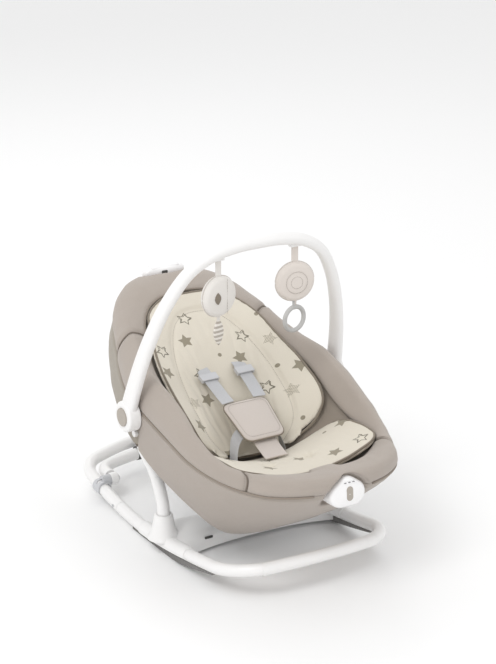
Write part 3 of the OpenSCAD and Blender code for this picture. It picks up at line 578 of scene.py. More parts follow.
def rounded_box(name, centre, half, radius, segments=4, turn=None):
    """A box with every edge rounded; half sizes and radius in millimetres."""
    work = bmesh.new()
    bmesh.ops.create_cube(work, size=2)
    for vertex in work.verts:
        vertex.co = Vector([c * h * MM for c, h in zip(vertex.co, half)])
    bmesh.ops.bevel(work, geom=work.edges[:], offset=radius * MM, segments=segments, profile=0.5,
                    affect="EDGES", clamp_overlap=True)
    if turn:
        bmesh.ops.rotate(work, verts=work.verts, cent=(0, 0, 0), matrix=turn)
    bmesh.ops.translate(work, verts=work.verts, vec=centre)
    mesh = bpy.data.meshes.new(name)
    work.to_mesh(mesh)
    work.free()
    return mesh


def kickstand():
    reach, pivot, rear = RAIL - 27, 214, 269
    flat = divided(rounded_path([Vector((x, y, 0)) for x, y in (
        (-reach, pivot + 14), (-reach, rear), (0, rear + 46), (reach, rear), (reach, pivot + 14))],
        [34, 400, 34], 16), 10)
    low, high = 48, rail_height(BASE_REAR) - 3
    path = [at(p.x, p.y, low + (high - low) * min(1, (p.y - pivot) / (BASE_REAR - pivot))) for p in flat]
    parts = [swept("bar", path, circle_section(TUBE * MM, 36), UP)]
    for side in (-1, 1):
        parts.append(turned_mesh("eye", [(r * MM, d * MM) for r, d in (
            (4.05, -8), (11.5, -8), (13, -6.5), (13, 6.5), (11.5, 8), (4.05, 8), (4.05, -8))],
            at(side * reach, pivot, 48), (1, 0, 0)))
    piece("kickstand_tube", joined("kickstand", *parts), frame_paint, "kickstand",
          ["kickstand_bar"])


def keep_cad(nodes, material):
    """A CAD node whose shape is right gets its finish."""
    for node in nodes:
        mesh = frame["nodes"][node].data
        mesh.materials.clear()
        mesh.materials.append(material)


def base():
    base_tubes()
    upright("left")
    upright("right")
    crossbar()
    kickstand()
    keep_cad(["crossbar_tray"], white_plastic)
    keep_cad(["anti_slip_strips"], grip_rubber)
    keep_cad(["kickstand_feet"], foot_rubber)
    keep_cad(["kickstand_brackets"], grey_plastic)
    keep_cad(["joint_sleeves", "frame_screws", "ratchet_discs", "hinge_pins", "kickstand_pins", "lock_pin_left",
              "lock_pin_right", "lever_spring", "batteries", "vibration_motor", "motor_weight"], plated_steel)
    keep_cad(["rim_tube"], drawn_tube)
    keep_cad(["hub_left", "hub_right", "seat_shell", "back_board"], shell_plastic)
    keep_cad(["recline_cables"], dark_plastic)


# ---- Pod: lines that run round it, from the front centre to the head centre ----
RIM = [(0, -422, 262), (80, -410, 262), (135, -375, 261), (162, -323, 259), (182, -269, 266), (191, -205, 288),
       (189, -125, 327), (189, -50, 349), (181, 20, 357), (166, 88, 378), (152, 145, 402), (129, 210, 425),
       (88, 249, 447), (42, 266, 454), (0, 270, 456)]
PAD = [(0, -312, 205), (85, -310, 212), (138, -300, 232), (162, -275, 240), (170, -238, 247), (171, -180, 252),
       (167, -120, 274), (164, -45, 314), (156, 18, 336), (140, 78, 366), (120, 128, 398), (92, 166, 418),
       (62, 182, 430), (30, 188, 435), (0, 190, 436)]
SEAM = [(0, -430, 236), (82, -416, 235), (139, -377, 233), (168, -327, 233), (191, -269, 239), (207, -200, 252),
        (213, -125, 274), (215, -52, 292), (213, 18, 306), (192, 90, 328), (168, 150, 354), (140, 214, 386),
        (97, 260, 416), (46, 279, 430), (0, 283, 432)]
BULGE = [(0, -322, 150), (73, -314, 150), (122, -290, 152), (157, -258, 160), (185, -215, 176), (203, -162, 198),
         (212, -100, 222), (214.5, -40, 246), (214.5, 22, 268), (201, 98, 284), (175, 162, 302), (142, 224, 322),
         (98, 276, 340), (47, 298, 350), (0, 303, 352)]
HEM = [(0, -195, 72), (62, -194, 73), (112, -188, 80), (142, -178, 98), (166, -160, 124), (187, -130, 152),
       (204, -82, 180), (214, -32, 208), (214.5, 22, 236), (186, 96, 238), (150, 138, 236), (112, 152, 228),
       (74, 146, 222), (36, 140, 219), (0, 138, 218)]
STEPS = 6


def all_round(half):
    other = [(-x, y, z) for x, y, z in half[-2:0:-1]]
    return smooth_curve([at(*p) for p in half + other], STEPS, closed=True)


rim_line, pad_line, seam_line, bulge_line, hem_line = map(all_round, (RIM, PAD, SEAM, BULGE, HEM))
STATIONS = len(rim_line)
FRONT_SEAM, HUB_SEAM, HEAD_SEAM = 17, 44, 58
COVER = 6 * MM


def panel_section(i):
    """From the pads, over the rim, down to the outer seam."""
    p, c, s = pad_line[i], rim_line[i], seam_line[i]
    crown = p.lerp(c, 0.55) + UP * 0.13 * (c - p).length
    out = Vector((c.x - p.x, c.y - p.y, 0)).normalized()
    shoulder = c.lerp(s, 0.45) + out * 0.16 * (c - s).length
    return smooth_curve([p, crown, c, shoulder, s], 6)


def lower_section(i):
    return smooth_curve([seam_line[i].lerp(bulge_line[i], 0.015), bulge_line[i], hem_line[i]], 10)


def grid_normals(grid):
    rows, columns = len(grid), len(grid[0])
    return [[(grid[i][min(k + 1, columns - 1)] - grid[i][max(k - 1, 0)]).cross(
        grid[min(i + 1, rows - 1)][k] - grid[max(i - 1, 0)][k]).normalized()
        for k in range(columns)] for i in range(rows)]


def padded_shell(name, grid, outward_sign, thickness=COVER, edge=0.12, roll=10 * MM, wrinkle=1.5 * MM, seed=0):
    """Quilted cloth over a grid of points: full in the middle, thin at its seams, with soft wrinkles."""
    normals = grid_normals(grid)
    rows, columns = len(grid), len(grid[0])
    across = [0.0]
    for k in range(1, columns):
        across.append(across[-1] + (grid[rows // 2][k] - grid[rows // 2][k - 1]).length)
    rings = []
    along = 0.0
    lengths = [0.0]
    for i in range(1, rows):
        along += (grid[i][columns // 2] - grid[i - 1][columns // 2]).length
        lengths.append(along)
    for i in range(rows):
        outer = []
        for k in range(columns):
            near = min(across[k], across[-1] - across[k], lengths[i], along - lengths[i])
            full = edge + (1 - edge) * math.sqrt(smoothstep(near / roll))
            spot = grid[i][k]
            crease = noise.noise(spot * 22 + Vector((seed, 0, 0))) + 0.5 * noise.noise(spot * 55)
            lift = thickness * full + wrinkle * crease * smoothstep(near / (2 * roll))
            outer.append(spot + normals[i][k] * outward_sign * lift)
        rings.append(list(grid[i]) + outer[::-1])
    return skin_mesh(name, rings)


def stations(first, last):
    return [i % STATIONS for i in range(first, last + 1)]


def cut_away(obj, cutter):
    """Cuts the room for a hard piece out of the cover."""
    cut = bpy.data.objects.new("cut", cutter)
    bpy.context.scene.collection.objects.link(cut)
    modifier = obj.modifiers.new("room", "BOOLEAN")
    modifier.operation = "DIFFERENCE"
    modifier.solver = "EXACT"
    modifier.object = cut
    baked(obj)
    bpy.data.objects.remove(cut)


def covers():
    head = padded_shell("head_panel", [panel_section(i) for i in stations(HEAD_SEAM, STATIONS - HEAD_SEAM)], 1)
    front = padded_shell("front_panel", [panel_section(i) for i in stations(-FRONT_SEAM, FRONT_SEAM)], 1, seed=3)
    right = padded_shell("side_panel", [panel_section(i) for i in stations(FRONT_SEAM, HEAD_SEAM)], 1, seed=7)
    left = padded_shell("side_panel", [panel_section(i) for i in stations(-HEAD_SEAM, -FRONT_SEAM)], 1, seed=9)
    skirt = padded_shell("skirt", [lower_section(i) for i in stations(-HUB_SEAM, HUB_SEAM)], 1, seed=11)
    back = padded_shell("back_cover", [lower_section(i) for i in stations(HUB_SEAM, STATIONS - HUB_SEAM)], 1, seed=13)
    head = piece("head_cover", head, cover_cloth, "seat", ["head_panel"])
    front = piece("front_cover", front, cover_cloth, "seat", ["front_panel"])
    piece("side_cover_right", right, cover_cloth, "seat", ["side_panel_right"])
    piece("side_cover_left", left, cover_cloth, "seat", ["side_panel_left"])
    skirt = piece("skirt_cover", skirt, cover_cloth, "seat", ["skirt"])
    back = piece("back_cover_cloth", back, back_cloth, "seat", ["back_cover"])
    for obj in (head, front, skirt, back):
        for polygon in obj.data.polygons:
            polygon.use_smooth = True
    return head, front, skirt, back


HANDLE_HULL = [(-36, 0, 12), (36, 0, 12), (0, 0, 19)]
UNIT_HULL = [(0, 5, 26), (-14, -3, 24.5), (14, -3, 24.5)]


def unit_axes():
    tilt = math.radians(4)
    return at(0, -420, 229), Vector((1, 0, 0)), Vector((0, math.sin(tilt), math.cos(tilt)))


def pocket(cloths, centre, right, up, circles, depth, lip):
    """Sinks the covers round a hard piece, so that it sits in a pocket with a rolled lip."""
    face = right.cross(up)
    for obj in cloths:
        work = bmesh.new()
        work.from_mesh(obj.data)
        bmesh.ops.subdivide_edges(work, edges=work.edges[:], cuts=2, use_grid_fill=True)
        for vertex in work.verts:
            away = vertex.co - centre
            if away.length > 75 * MM:
                continue
            a, b = away.dot(right) / MM, away.dot(up) / MM
            outside = max(a * math.cos(t) + b * math.sin(t) - max(x * math.cos(t) + y * math.sin(t) + r
                          for x, y, r in circles) for t in (math.tau * k / 48 for k in range(48)))
            vertex.co -= face * depth * MM * smoothstep((lip - outside) / (lip - 1))
        work.to_mesh(obj.data)
        work.free()
        obj.data.shade_smooth()


# ---- Liner and pads: ribs across the pod ----
def ribs(centres, edges, steps, n):
    middles = smooth_curve([Vector(p) for p in centres], n)
    borders = smooth_curve([Vector(p) for p in edges], n)
    grid = []
    for c, e in zip(middles, borders):
        row = []
        for k in range(-steps, steps + 1):
            t = k / steps
            row.append(at(e.x * t, c.y + (e.y - c.y) * t * t, c.z + (e.z - c.z) * abs(t) ** 1.9))
        grid.append(row)
    return grid


def grid_spot(grid, t, part):
    """A point on a grid: t from -1 to 1 across, part from 0 at the front to 1 at the back."""
    row = min(len(grid) - 1.001, max(0.0, part * (len(grid) - 1)))
    column = (t + 1) / 2 * (len(grid[0]) - 1)
    i, k = int(row), min(int(column), len(grid[0]) - 2)
    a = grid[i][k].lerp(grid[i][k + 1], column - k)
    b = grid[i + 1][k].lerp(grid[i + 1][k + 1], column - k)
    return a.lerp(b, row - i)


def border(grid):
    return (grid[0] + [row[-1] for row in grid[1:-1]] + grid[-1][::-1] + [row[0] for row in grid[-2:0:-1]])


def liner():
    centres = [(0, -317, 199), (0, -296, 183), (0, -255, 174), (0, -210, 165), (0, -160, 154), (0, -108, 145),
               (0, -60, 179), (0, 2, 233), (0, 66, 295), (0, 118, 352), (0, 155, 396), (0, 172, 416)]
    edges = []
    for p, c in list(zip(PAD, RIM))[1:13]:
        p, c = Vector(p), Vector(c)
        edges.append(p - 4 * Vector((p.x - c.x, p.y - c.y, 0)).normalized() - Vector((0, 0, 6)))
    grid = ribs(centres, edges, 24, 5)
    mesh = padded_shell("liner", grid, 1, 5 * MM, seed=5)
    return piece("seat_liner_cloth", mesh, liner_cloth, "seat", ["seat_liner"])


def voxels(mesh, size):
    obj = bpy.data.objects.new("blank", mesh)
    bpy.context.scene.collection.objects.link(obj)
    modifier = obj.modifiers.new("even", "REMESH")
    modifier.mode = "VOXEL"
    modifier.voxel_size = size
    result = baked(obj)
    bpy.data.objects.remove(obj)
    return result


def filled(mesh, held, pressure, cap, frames=20):
    """Blows cloth up round its filling; held gives how firmly each vertex is sewn down, 0 to 1."""
    start = [v.co.copy() for v in mesh.vertices]
    obj = bpy.data.objects.new("sewn", mesh)
    bpy.context.scene.collection.objects.link(obj)
    group = obj.vertex_groups.new(name="held")
    for index, weight in enumerate(held):
        if weight > 0:
            group.add([index], weight, "REPLACE")
    cloth = obj.modifiers.new("cloth", "CLOTH")
    settings = cloth.settings
    settings.quality = 5
    settings.mass = 0.3
    settings.tension_stiffness = settings.compression_stiffness = 12
    settings.bending_stiffness = 0.6
    settings.use_pressure = True
    settings.uniform_pressure_force = pressure
    settings.effector_weights.gravity = 0
    settings.vertex_group_mass = "held"
    cloth.point_cache.frame_start = 1
    cloth.point_cache.frame_end = frames
    for number in range(1, frames + 1):
        bpy.context.scene.frame_set(number)
    result = bpy.data.meshes.new_from_object(obj.evaluated_get(bpy.context.view_layer.depsgraph))
    bpy.data.objects.remove(obj)
    bpy.context.scene.frame_set(1)
    for vertex, old in zip(result.vertices, start):
        shift = vertex.co - old
        if shift.length > cap:
            vertex.co = old + shift.normalized() * cap
    return result


def nearest_tree(points):
    tree = KDTree(len(points))
    for index, point in enumerate(points):
        tree.insert(point, index)
    tree.balance()
    return tree


def quilted(name, grid, thickness, seams, tufts, material, replaces, pressed=()):
    """A pad sewn round its border, along its seams and at its tufts, and filled between them."""
    normals = grid_normals(grid)
    rows, columns = len(grid), len(grid[0])
    rings = []
    for i in range(rows):
        top, under = [], []
        for k in range(columns):
            swell = (max(0.0, math.sin(math.pi * i / (rows - 1)))
                     * max(0.0, math.sin(math.pi * k / (columns - 1)))) ** 0.5
            up = normals[i][k] if normals[i][k].z > 0 else -normals[i][k]
            full = 0.4 + 0.6 * swell
            top.append(grid[i][k] - up * thickness * 0.10 * (1 - swell))
            under.append(grid[i][k] - up * thickness * full)
        rings.append(top + under[::-1])
    mesh = voxels(skin_mesh(name, rings), 0.005)
    edge = [p - UP * thickness * 0.2 for p in divided(border(grid) + [grid[0][0]], 0.004)]
    lines = nearest_tree([p for seam in seams for p in divided(seam, 0.004)] + tufts)
    rim = nearest_tree(edge)
    held = []
    for vertex in mesh.vertices:
        sewn = lines.find(vertex.co)[2] < 0.006 or rim.find(vertex.co)[2] < 0.007 or vertex.normal.z < 0.1
        held.append(1.0 if sewn else 0.0)
    mesh = filled(mesh, held, 4.0, 0.008)
    points = nearest_tree([p for seam in seams for p in divided(seam, 0.003)]) if seams else None
    spots = nearest_tree(tufts) if tufts else None
    for vertex, firm in zip(mesh.vertices, held):
        if vertex.normal.z < 0.1:
            continue
        sink = 0.0
        if points:
            sink = max(sink, 0.0045 * math.exp(-(points.find(vertex.co)[2] / 0.006) ** 2))
        if spots:
            spot, _, reach = spots.find(vertex.co)
            turn = math.atan2(vertex.co.y - spot.y, vertex.co.x - spot.x)
            sink = max(sink, 0.010 * math.exp(-(reach / 0.010) ** 2)
                       + 0.0022 * math.exp(-(reach / 0.024) ** 2) * (1 + math.cos(turn * 7)))
        for spot in pressed:
            sink += 0.006 * math.exp(-((vertex.co - spot).length / 0.026) ** 2)
        vertex.co += vertex.normal * (0.0007 * noise.noise(vertex.co * 38) - sink)
    obj = piece(name, mesh, material, "seat", replaces, crease=0)
    modifier = obj.modifiers.new("fine", "SUBSURF")
    modifier.levels = modifier.render_levels = 1
    baked(obj).shade_smooth()
    return obj


def sunk_path(obj, path, depth):
    """A path laid on the top of a piece, a little under its surface."""
    surface = BVHTree.FromPolygons([v.co for v in obj.data.vertices], [p.vertices for p in obj.data.polygons])
    laid = []
    for p in path:
        hit = surface.ray_cast(p + UP * 0.06, -UP)[0] or surface.find_nearest(p)[0]
        laid.append(hit - UP * depth)
    return laid


def stitch_nodes(material):
    """Geometry Nodes group: even stitches along a line."""
    group = bpy.data.node_groups.new("stitches", "GeometryNodeTree")
    face = group.interface
    face.new_socket("Line", in_out="INPUT", socket_type="NodeSocketGeometry")
    for label, value in (("Pitch", 0.004), ("Length", 0.0028), ("Thickness", 0.0009)):
        face.new_socket(label, in_out="INPUT", socket_type="NodeSocketFloat").default_value = value
    face.new_socket("Stitches", in_out="OUTPUT", socket_type="NodeSocketGeometry")
    nodes, links = group.nodes, group.links
    start, end = nodes.new("NodeGroupInput"), nodes.new("NodeGroupOutput")
    curve = nodes.new("GeometryNodeMeshToCurve")
    even = nodes.new("GeometryNodeResampleCurve")
    even.mode = "LENGTH"
    ball = nodes.new("GeometryNodeMeshUVSphere")
    ball.inputs["Segments"].default_value = 8
    ball.inputs["Rings"].default_value = 6
    ball.inputs["Radius"].default_value = 0.5
    tangent = nodes.new("GeometryNodeInputTangent")
    turn = nodes.new("FunctionNodeAlignRotationToVector")
    turn.axis = "X"
    size = nodes.new("ShaderNodeCombineXYZ")
    place = nodes.new("GeometryNodeInstanceOnPoints")
    real = nodes.new("GeometryNodeRealizeInstances")
    finish = nodes.new("GeometryNodeSetMaterial")
    finish.inputs["Material"].default_value = material
    for a, b in ((start.outputs["Line"], curve.inputs["Mesh"]), (curve.outputs[0], even.inputs["Curve"]),
                 (start.outputs["Pitch"], even.inputs["Length"]), (even.outputs[0], place.inputs["Points"]),
                 (ball.outputs["Mesh"], place.inputs["Instance"]), (tangent.outputs[0], turn.inputs["Vector"]),
                 (turn.outputs[0], place.inputs["Rotation"]), (start.outputs["Length"], size.inputs[0]),
                 (start.outputs["Thickness"], size.inputs[1]), (start.outputs["Thickness"], size.inputs[2]),
                 (size.outputs[0], place.inputs["Scale"]), (place.outputs[0], real.inputs[0]),
                 (real.outputs[0], finish.inputs["Geometry"]), (finish.outputs[0], end.inputs[0])):
        links.new(a, b)
    return group


def stitched(name, paths, body="seat", pitch=0.004, length=0.0028, thickness=0.0009):
    """Rows of stitches along paths, as one piece."""
    mesh = bpy.data.meshes.new(name)
    points, edges = [], []
    for path in paths:
        first = len(points)
        points += path
        edges += [(first + i, first + i + 1) for i in range(len(path) - 1)]
    mesh.from_pydata(points, edges, [])
    obj = bpy.data.objects.new(name, mesh)
    bpy.context.scene.collection.objects.link(obj)
    modifier = obj.modifiers.new("sewing", "NODES")
    modifier.node_group = sewing
    names = {item.name: item.identifier for item in sewing.interface.items_tree if item.in_out == "INPUT"}
    modifier[names["Pitch"]] = pitch
    modifier[names["Length"]] = length
    modifier[names["Thickness"]] = thickness
    baked(obj)
    for polygon in obj.data.polygons:
        polygon.use_smooth = True
    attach(obj, body)
    return obj


sewing = stitch_nodes(thread)


def piping(name, path, radius, material, body="seat", closed=True):
    return piece(name, swept(name, path, circle_section(radius, 12), lambda i: UP, closed), material, body,
                 crease=0)


# ---- Printed pad cloth ----
SOLID_STARS = [(-50, 325), (50, 265), (145, 204), (-130, 255), (-59, 190), (-113, 129), (-53, 69)]
LINE_STARS = [(-29, 376), (74, 311), (75, 187), (-117, 307), (-49, 246)]
DOTS = [(119, 347), (11, 281), (111, 223), (110, 98)]
DOT_STARS = [(121, 285), (113, 161), (-95, 183)]
SEAT_STARS = [(153, -177), (80, -263), (28, -219), (-60, -250), (-120, -200)]
SEAT_LINE_STARS = [(135, -269), (-20, -170)]
SEAT_DOTS = [(121, -162), (-85, -150)]


def printed(name, solid, lines, dots, dotted, slope):
    """Cream quilting cotton printed with scattered stars and dots."""
    p = Paint(name)
    spot = p.place()
    x, y, z = p.parts(spot)
    shift = HUB_OFFSET * MM - HUB
    u = x * 1000
    v = (y + shift.y) * (math.cos(slope) * 1000) + (z + shift.z) * (math.sin(slope) * 1000)
    flat = p.node("ShaderNodeCombineXYZ", None, (u, v, 0.0))

    def star(cu, cv, radius, turn):
        away = p.node("ShaderNodeVectorMath", {"operation": "SUBTRACT"}, {0: flat, 1: (cu, cv, 0)})
        a, b, _ = p.parts(away)
        reach = p.node("ShaderNodeVectorMath", {"operation": "LENGTH"}, {0: away}, output=1)
        angle = b.math("ARCTAN2", a) + (turn + math.tau * 2)
        phase = (angle.math("MODULO", math.tau / 5) - math.pi / 5).math("ABSOLUTE")
        tip = math.pi / 5
        inner = 0.5
        edge = (tip - phase).math("SINE") * inner + phase.math("SINE")
        return reach * edge / (radius * inner * math.sin(tip))

    marks = None
    dark = None
    for index, (cu, cv) in enumerate(solid):
        mask = star(cu, cv, 16.5, 0.3 + index * 1.1) < 1.0
        marks = mask if marks is None else marks.math("MAXIMUM", mask)
    for index, (cu, cv) in enumerate(dotted):
        shape = star(cu, cv, 16, 0.9 + index * 0.8) < 1.0
        grain = (u * 1.6).math("SINE") * (v * 1.6).math("SINE")
        marks = marks.math("MAXIMUM", shape * (grain > 0.1))
    for cu, cv in dots:
        away = p.node("ShaderNodeVectorMath", {"operation": "DISTANCE"}, {0: flat, 1: (cu, cv, 0)}, output=1)
        marks = marks.math("MAXIMUM", away < 4.2)
    for index, (cu, cv) in enumerate(lines):
        shape = star(cu, cv, 16.5, 0.7 + index * 1.4)
        loose = star(cu + 1.2, cv - 0.8, 15, 0.82 + index * 1.4)
        mask = ((shape < 1.0) * (shape > 0.80)).math("MAXIMUM", (loose < 0.98) * (loose > 0.80))
        dark = mask if dark is None else dark.math("MAXIMUM", mask)
    ink = p.noise(spot, 900, 2) * 0.25 + 0.75
    weave_u, weave_v, _ = p.parts(spot)
    turn = math.tau / 0.0009
    threads = (weave_u * turn).math("SINE") * (v * (turn / 1000)).math("SINE") * 0.5 + 0.5
    yarn = p.noise(spot, 600, 3, 0.7)
    tone = p.blend(yarn, tuple(c * 0.93 for c in CREAM), tuple(min(1, c * 1.04) for c in CREAM))
    tone = p.blend(p.noise(spot, 14, 3) * 0.15, tone, tuple(c * 0.88 for c in CREAM))
    tone = p.blend(marks * ink, tone, OLIVE)
    tone = p.blend(dark * ink, tone, INK)
    soft = p.bump(p.noise(spot, 40, 3), 0.0010, 0.4)
    return p.finish(tone, 0.9, p.bump(threads + yarn, 0.00012, 1.0, soft),
                    **{"Sheen Weight": 0.25, "Specular IOR Level": 0.2})


back_print = printed("back_pad_print", SOLID_STARS, LINE_STARS, DOTS, DOT_STARS, math.radians(45))
seat_print = printed("seat_pad_print", SEAT_STARS, SEAT_LINE_STARS, SEAT_DOTS, [], 0.0)


def pads():
    back_grid = ribs([(0, -97, 186), (0, -75, 206), (0, -40, 240), (0, 12, 288), (0, 70, 343), (0, 120, 393),
                      (0, 152, 425), (0, 172, 444)],
                     [(80, -98, 196), (126, -118, 240), (151, -108, 290), (151, -32, 334), (141, 33, 364),
                      (123, 97, 403), (98, 150, 425), (60, 170, 442)], 20, 6)
    seat_grid = ribs([(0, -297, 224), (0, -272, 222), (0, -235, 216), (0, -185, 204), (0, -135, 188),
                      (0, -112, 182)],
                     [(92, -300, 240), (149, -292, 259), (163, -256, 264), (160, -180, 256), (140, -130, 228),
                      (86, -112, 190)], 20, 6)
    arch = [(-0.66, 0.06), (-0.68, 0.25), (-0.68, 0.45), (-0.62, 0.62), (-0.42, 0.75), (0, 0.80),
            (0.42, 0.75), (0.62, 0.62), (0.68, 0.45), (0.68, 0.25), (0.66, 0.06)]
    seam = smooth_curve([grid_spot(back_grid, t, part) for t, part in arch], 8)
    back_pad = quilted("back_pad_quilted", back_grid, 0.024, [seam], [], back_print, ["back_pad"],
                       [at(-41, 20, 300), at(41, 20, 300)])
    tufts = [grid_spot(seat_grid, t, part) for t, part in ((-0.26, 0.47), (0.26, 0.47))]
    seat_pad = quilted("seat_pad_quilted", seat_grid, 0.024, [], tufts, seat_print, ["seat_pad"])
    stitched("back_pad_stitches", [sunk_path(back_pad, seam, -0.0003)])
    for name, grid in (("back_pad_piping", back_grid), ("seat_pad_piping", seat_grid)):
        edge = smooth_curve([p - UP * 0.0045 for p in border(grid)[::3]], 3, closed=True)
        piping(name, edge, 0.0024, pad_piping_cloth)


# ---- Shapes with rounded rims: toys, harness pad, vibration unit ----
def hull_outline(circles, steps=72):
    """The outline round some circles (x, y, r)."""
    return [max(((x + r * math.cos(a)), (y + r * math.sin(a))) for x, y, r in circles) for a in (0,)] and [
        support_point(circles, math.tau * k / steps) for k in range(steps)]


def support_point(circles, angle):
    c, s = math.cos(angle), math.sin(angle)
    x, y, r = max(circles, key=lambda circle: circle[0] * c + circle[1] * s + circle[2])
    return x + r * c, y + r * s


def pillow(name, outline, centre, right, up, low, high, roll, crown=0.0, under=0.0, rows=5):
    """A form with a rolled edge round an outline, crowned on both faces; sizes in millimetres."""
    right, up = Vector(right).normalized(), Vector(up).normalized()
    face = right.cross(up)
    mid_a = sum(a for a, _ in outline) / len(outline)
    mid_b = sum(b for _, b in outline) / len(outline)
    reach = sum(math.hypot(a - mid_a, b - mid_b) for a, b in outline) / len(outline)
    profile = []
    half = (high - low) / 2
    round_edge = min(roll, half)
    for k in range(rows):
        part = k / rows
        profile.append((0.02 + 0.98 * part * (1 - roll / reach), low - under * (1 - part ** 2)))
    for k in range(9):
        angle = math.pi / 2 * k / 8
        profile.append((1 - roll / reach * (1 - math.sin(angle)), low + round_edge * (1 - math.cos(angle))))
    for k in range(9):
        angle = math.pi / 2 * k / 8
        profile.append((1 - roll / reach * (1 - math.cos(angle)), high - round_edge * (1 - math.sin(angle))))
    for k in range(rows):
        part = 1 - (k + 1) / rows
        profile.append((0.02 + 0.98 * part * (1 - roll / reach), high + crown * (1 - part ** 2)))
    rings = []
    for scale, height in profile:
        rings.append([centre + (right * (mid_a + (a - mid_a) * scale) + up * (mid_b + (b - mid_b) * scale)
                                + face * height) * MM for a, b in outline])
    return skin_mesh(name, rings)


def rounded_outline(points, radius, steps=6):
    """A polygon (x, y) with round corners."""
    vectors = [Vector((x, y, 0)) for x, y in points]
    count = len(vectors)
    start = vectors[0].lerp(vectors[-1], 0.5)
    path = rounded_path([start] + vectors + [start], [radius] * count, steps)
    return [(p.x, p.y) for p in path[:-1]]


def webbing(name, points, widths, material, body, replaces, thickness=1.8, across=(1, 0, 0)):
    """A flat strap through points."""
    path = smooth_curve([at(*p) for p in points], 8)
    count = len(path) - 1
    sizes = []
    for i in range(count + 1):
        place = i / count * (len(widths) - 1)
        k = min(int(place), len(widths) - 2)
        sizes.append(((widths[k] + (widths[k + 1] - widths[k]) * (place - k)), 1))
    rings = []
    turned = headings(path)
    for i, (point, ahead) in enumerate(zip(path, turned)):
        side = (Vector(across) - ahead * ahead.dot(Vector(across))).normalized()
        rise = side.cross(ahead)
        half = sizes[i][0] / 2 * MM
        ring = []
        for k in range(24):
            angle = math.tau * k / 24
            c, s = math.cos(angle), math.sin(angle)
            ring.append(point + side * half * math.copysign(abs(c) ** 0.25, c)
                        + rise * thickness / 2 * MM * math.copysign(abs(s) ** 0.7, s))
        rings.append(ring)
    return piece(name, skin_mesh(name, rings), material, body, replaces, crease=50)


def harness():
    for side, node in ((1, "right"), (-1, "left")):
        points = [(side * x, y, z) for x, y, z in ((42, 47, 326), (41.6, 38, 326), (40.5, 12, 316), (39, -18, 303),
                                                   (37.5, -40, 293), (36, -56, 286))]
        strap = webbing("shoulder_webbing_" + node, points, [28, 28], webbing_weave, "seat",
                        ["shoulder_strap_" + node])
    waist = []
    for side in (-1, 1):
        points = [(side * x, y, z) for x, y, z in ((57, -112, 188), (54, -108, 206), (48, -104, 223),
                                                   (37, -101, 235), (22, -100, 240))]
        waist.append(webbing("waist_half", points, [25, 25], webbing_weave, "seat", [], across=(0, 1, 0.5)))
    mesh = joined("waist_webbing", *[obj.data for obj in waist])
    for obj in waist:
        bpy.data.objects.remove(obj)
    straps = piece("waist_webbing", mesh, webbing_weave, "seat", ["waist_straps"], crease=50)
    crotch = webbing("crotch_webbing", [(0, -180, 209), (0, -168, 213), (0, -150, 220), (0, -132, 228), (0, -114, 236)],
                     [50, 50], harness_cloth, "seat", ["crotch_strap"], 3)
    tilt = math.radians(27)
    up = Vector((0, math.cos(tilt), math.sin(tilt)))
    outline = rounded_outline([(-44, -48), (44, -48), (51, 54), (-51, 54)], 16)
    mesh = pillow("harness_cushion", outline, at(0, -97, 252), (1, 0, 0), up, 1, 9, 5, 2.5, 0)
    cushion = piece("harness_cushion", mesh, harness_cloth, "seat", ["harness_pad"], crease=0)
    face = Vector((1, 0, 0)).cross(up)
    rim = [at(0, -97, 252) + (Vector((1, 0, 0)) * a * 1.0 + up * b * 1.0 + face * 5) * MM for a, b in outline]
    piping("harness_piping", rim, 0.0017, pad_piping_cloth)
    inner = [at(0, -97, 252) + (Vector((1, 0, 0)) * a * 0.86 + up * (3 + (b - 3) * 0.86) + face * 9.9) * MM
             for a, b in outline]
    stitched("harness_stitches", [inner + inner[:1]], pitch=0.0034, length=0.0024)


# ---- Vibration unit and recline handle ----
def vibration_unit():
    centre, right, up = unit_axes()
    outline = [support_point(UNIT_HULL, math.tau * k / 96) for k in range(96)]
    mesh = pillow("housing", outline, centre, right, up, -25.5, 13, 9, 3, 0)
    piece("unit_housing_shell", mesh, unit_plastic, "seat", ["unit_housing"])
    face = right.cross(up)
    marks = [rounded_box("mark", centre + (right * x + up * 22 + face * 14.8) * MM, (2.2, 0.8, 0.8), 0.5)
             for x in (-9, 0, 9)]
    piece("unit_marks", joined("marks", *marks), mark_grey, "seat")
    keep_cad(["selector"], taupe_plastic)
    keep_cad(["battery_door"], unit_plastic)


def handle():
    """A low boat-shaped moulding with a squeeze lever sunk in its top."""
    low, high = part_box("recline_lever")
    centre = at(0, 268, 458)
    outline = [support_point(HANDLE_HULL, math.tau * k / 96) for k in range(96)]
    mesh = pillow("handle", outline, centre, (1, 0, 0), (0, 1, 0), -10.5, 14, 12, 2.5, 0)
    body = piece("handle_moulding", mesh, unit_plastic, "seat", ["handle_body"])
    middle = (Vector(low) + Vector(high)) / 2
    half = (Vector(high) - Vector(low)) / 2 / MM
    room = rounded_box("room", middle + UP * 20 * MM, (half.x + 0.8, half.y + 0.8, half.z + 20), 4)
    cut_away(body, room)
    body.data.shade_smooth()
    body.data.set_sharp_from_angle(angle=math.radians(40))
    lever = rounded_box("lever", middle, (half.x, half.y, half.z), 3)
    piece("lever_cap", lever, unit_plastic, "lever", ["recline_lever"])
    slot = rounded_box("slot", at(-6, 249.5, 464), (6.5, 1.8, 3.4), 1.7)
    piece("handle_slot", slot, dark_plastic, "seat")


# ---- Toy bar ----
KNOB_IN, KNOB_OUT = 222.55, 248.55


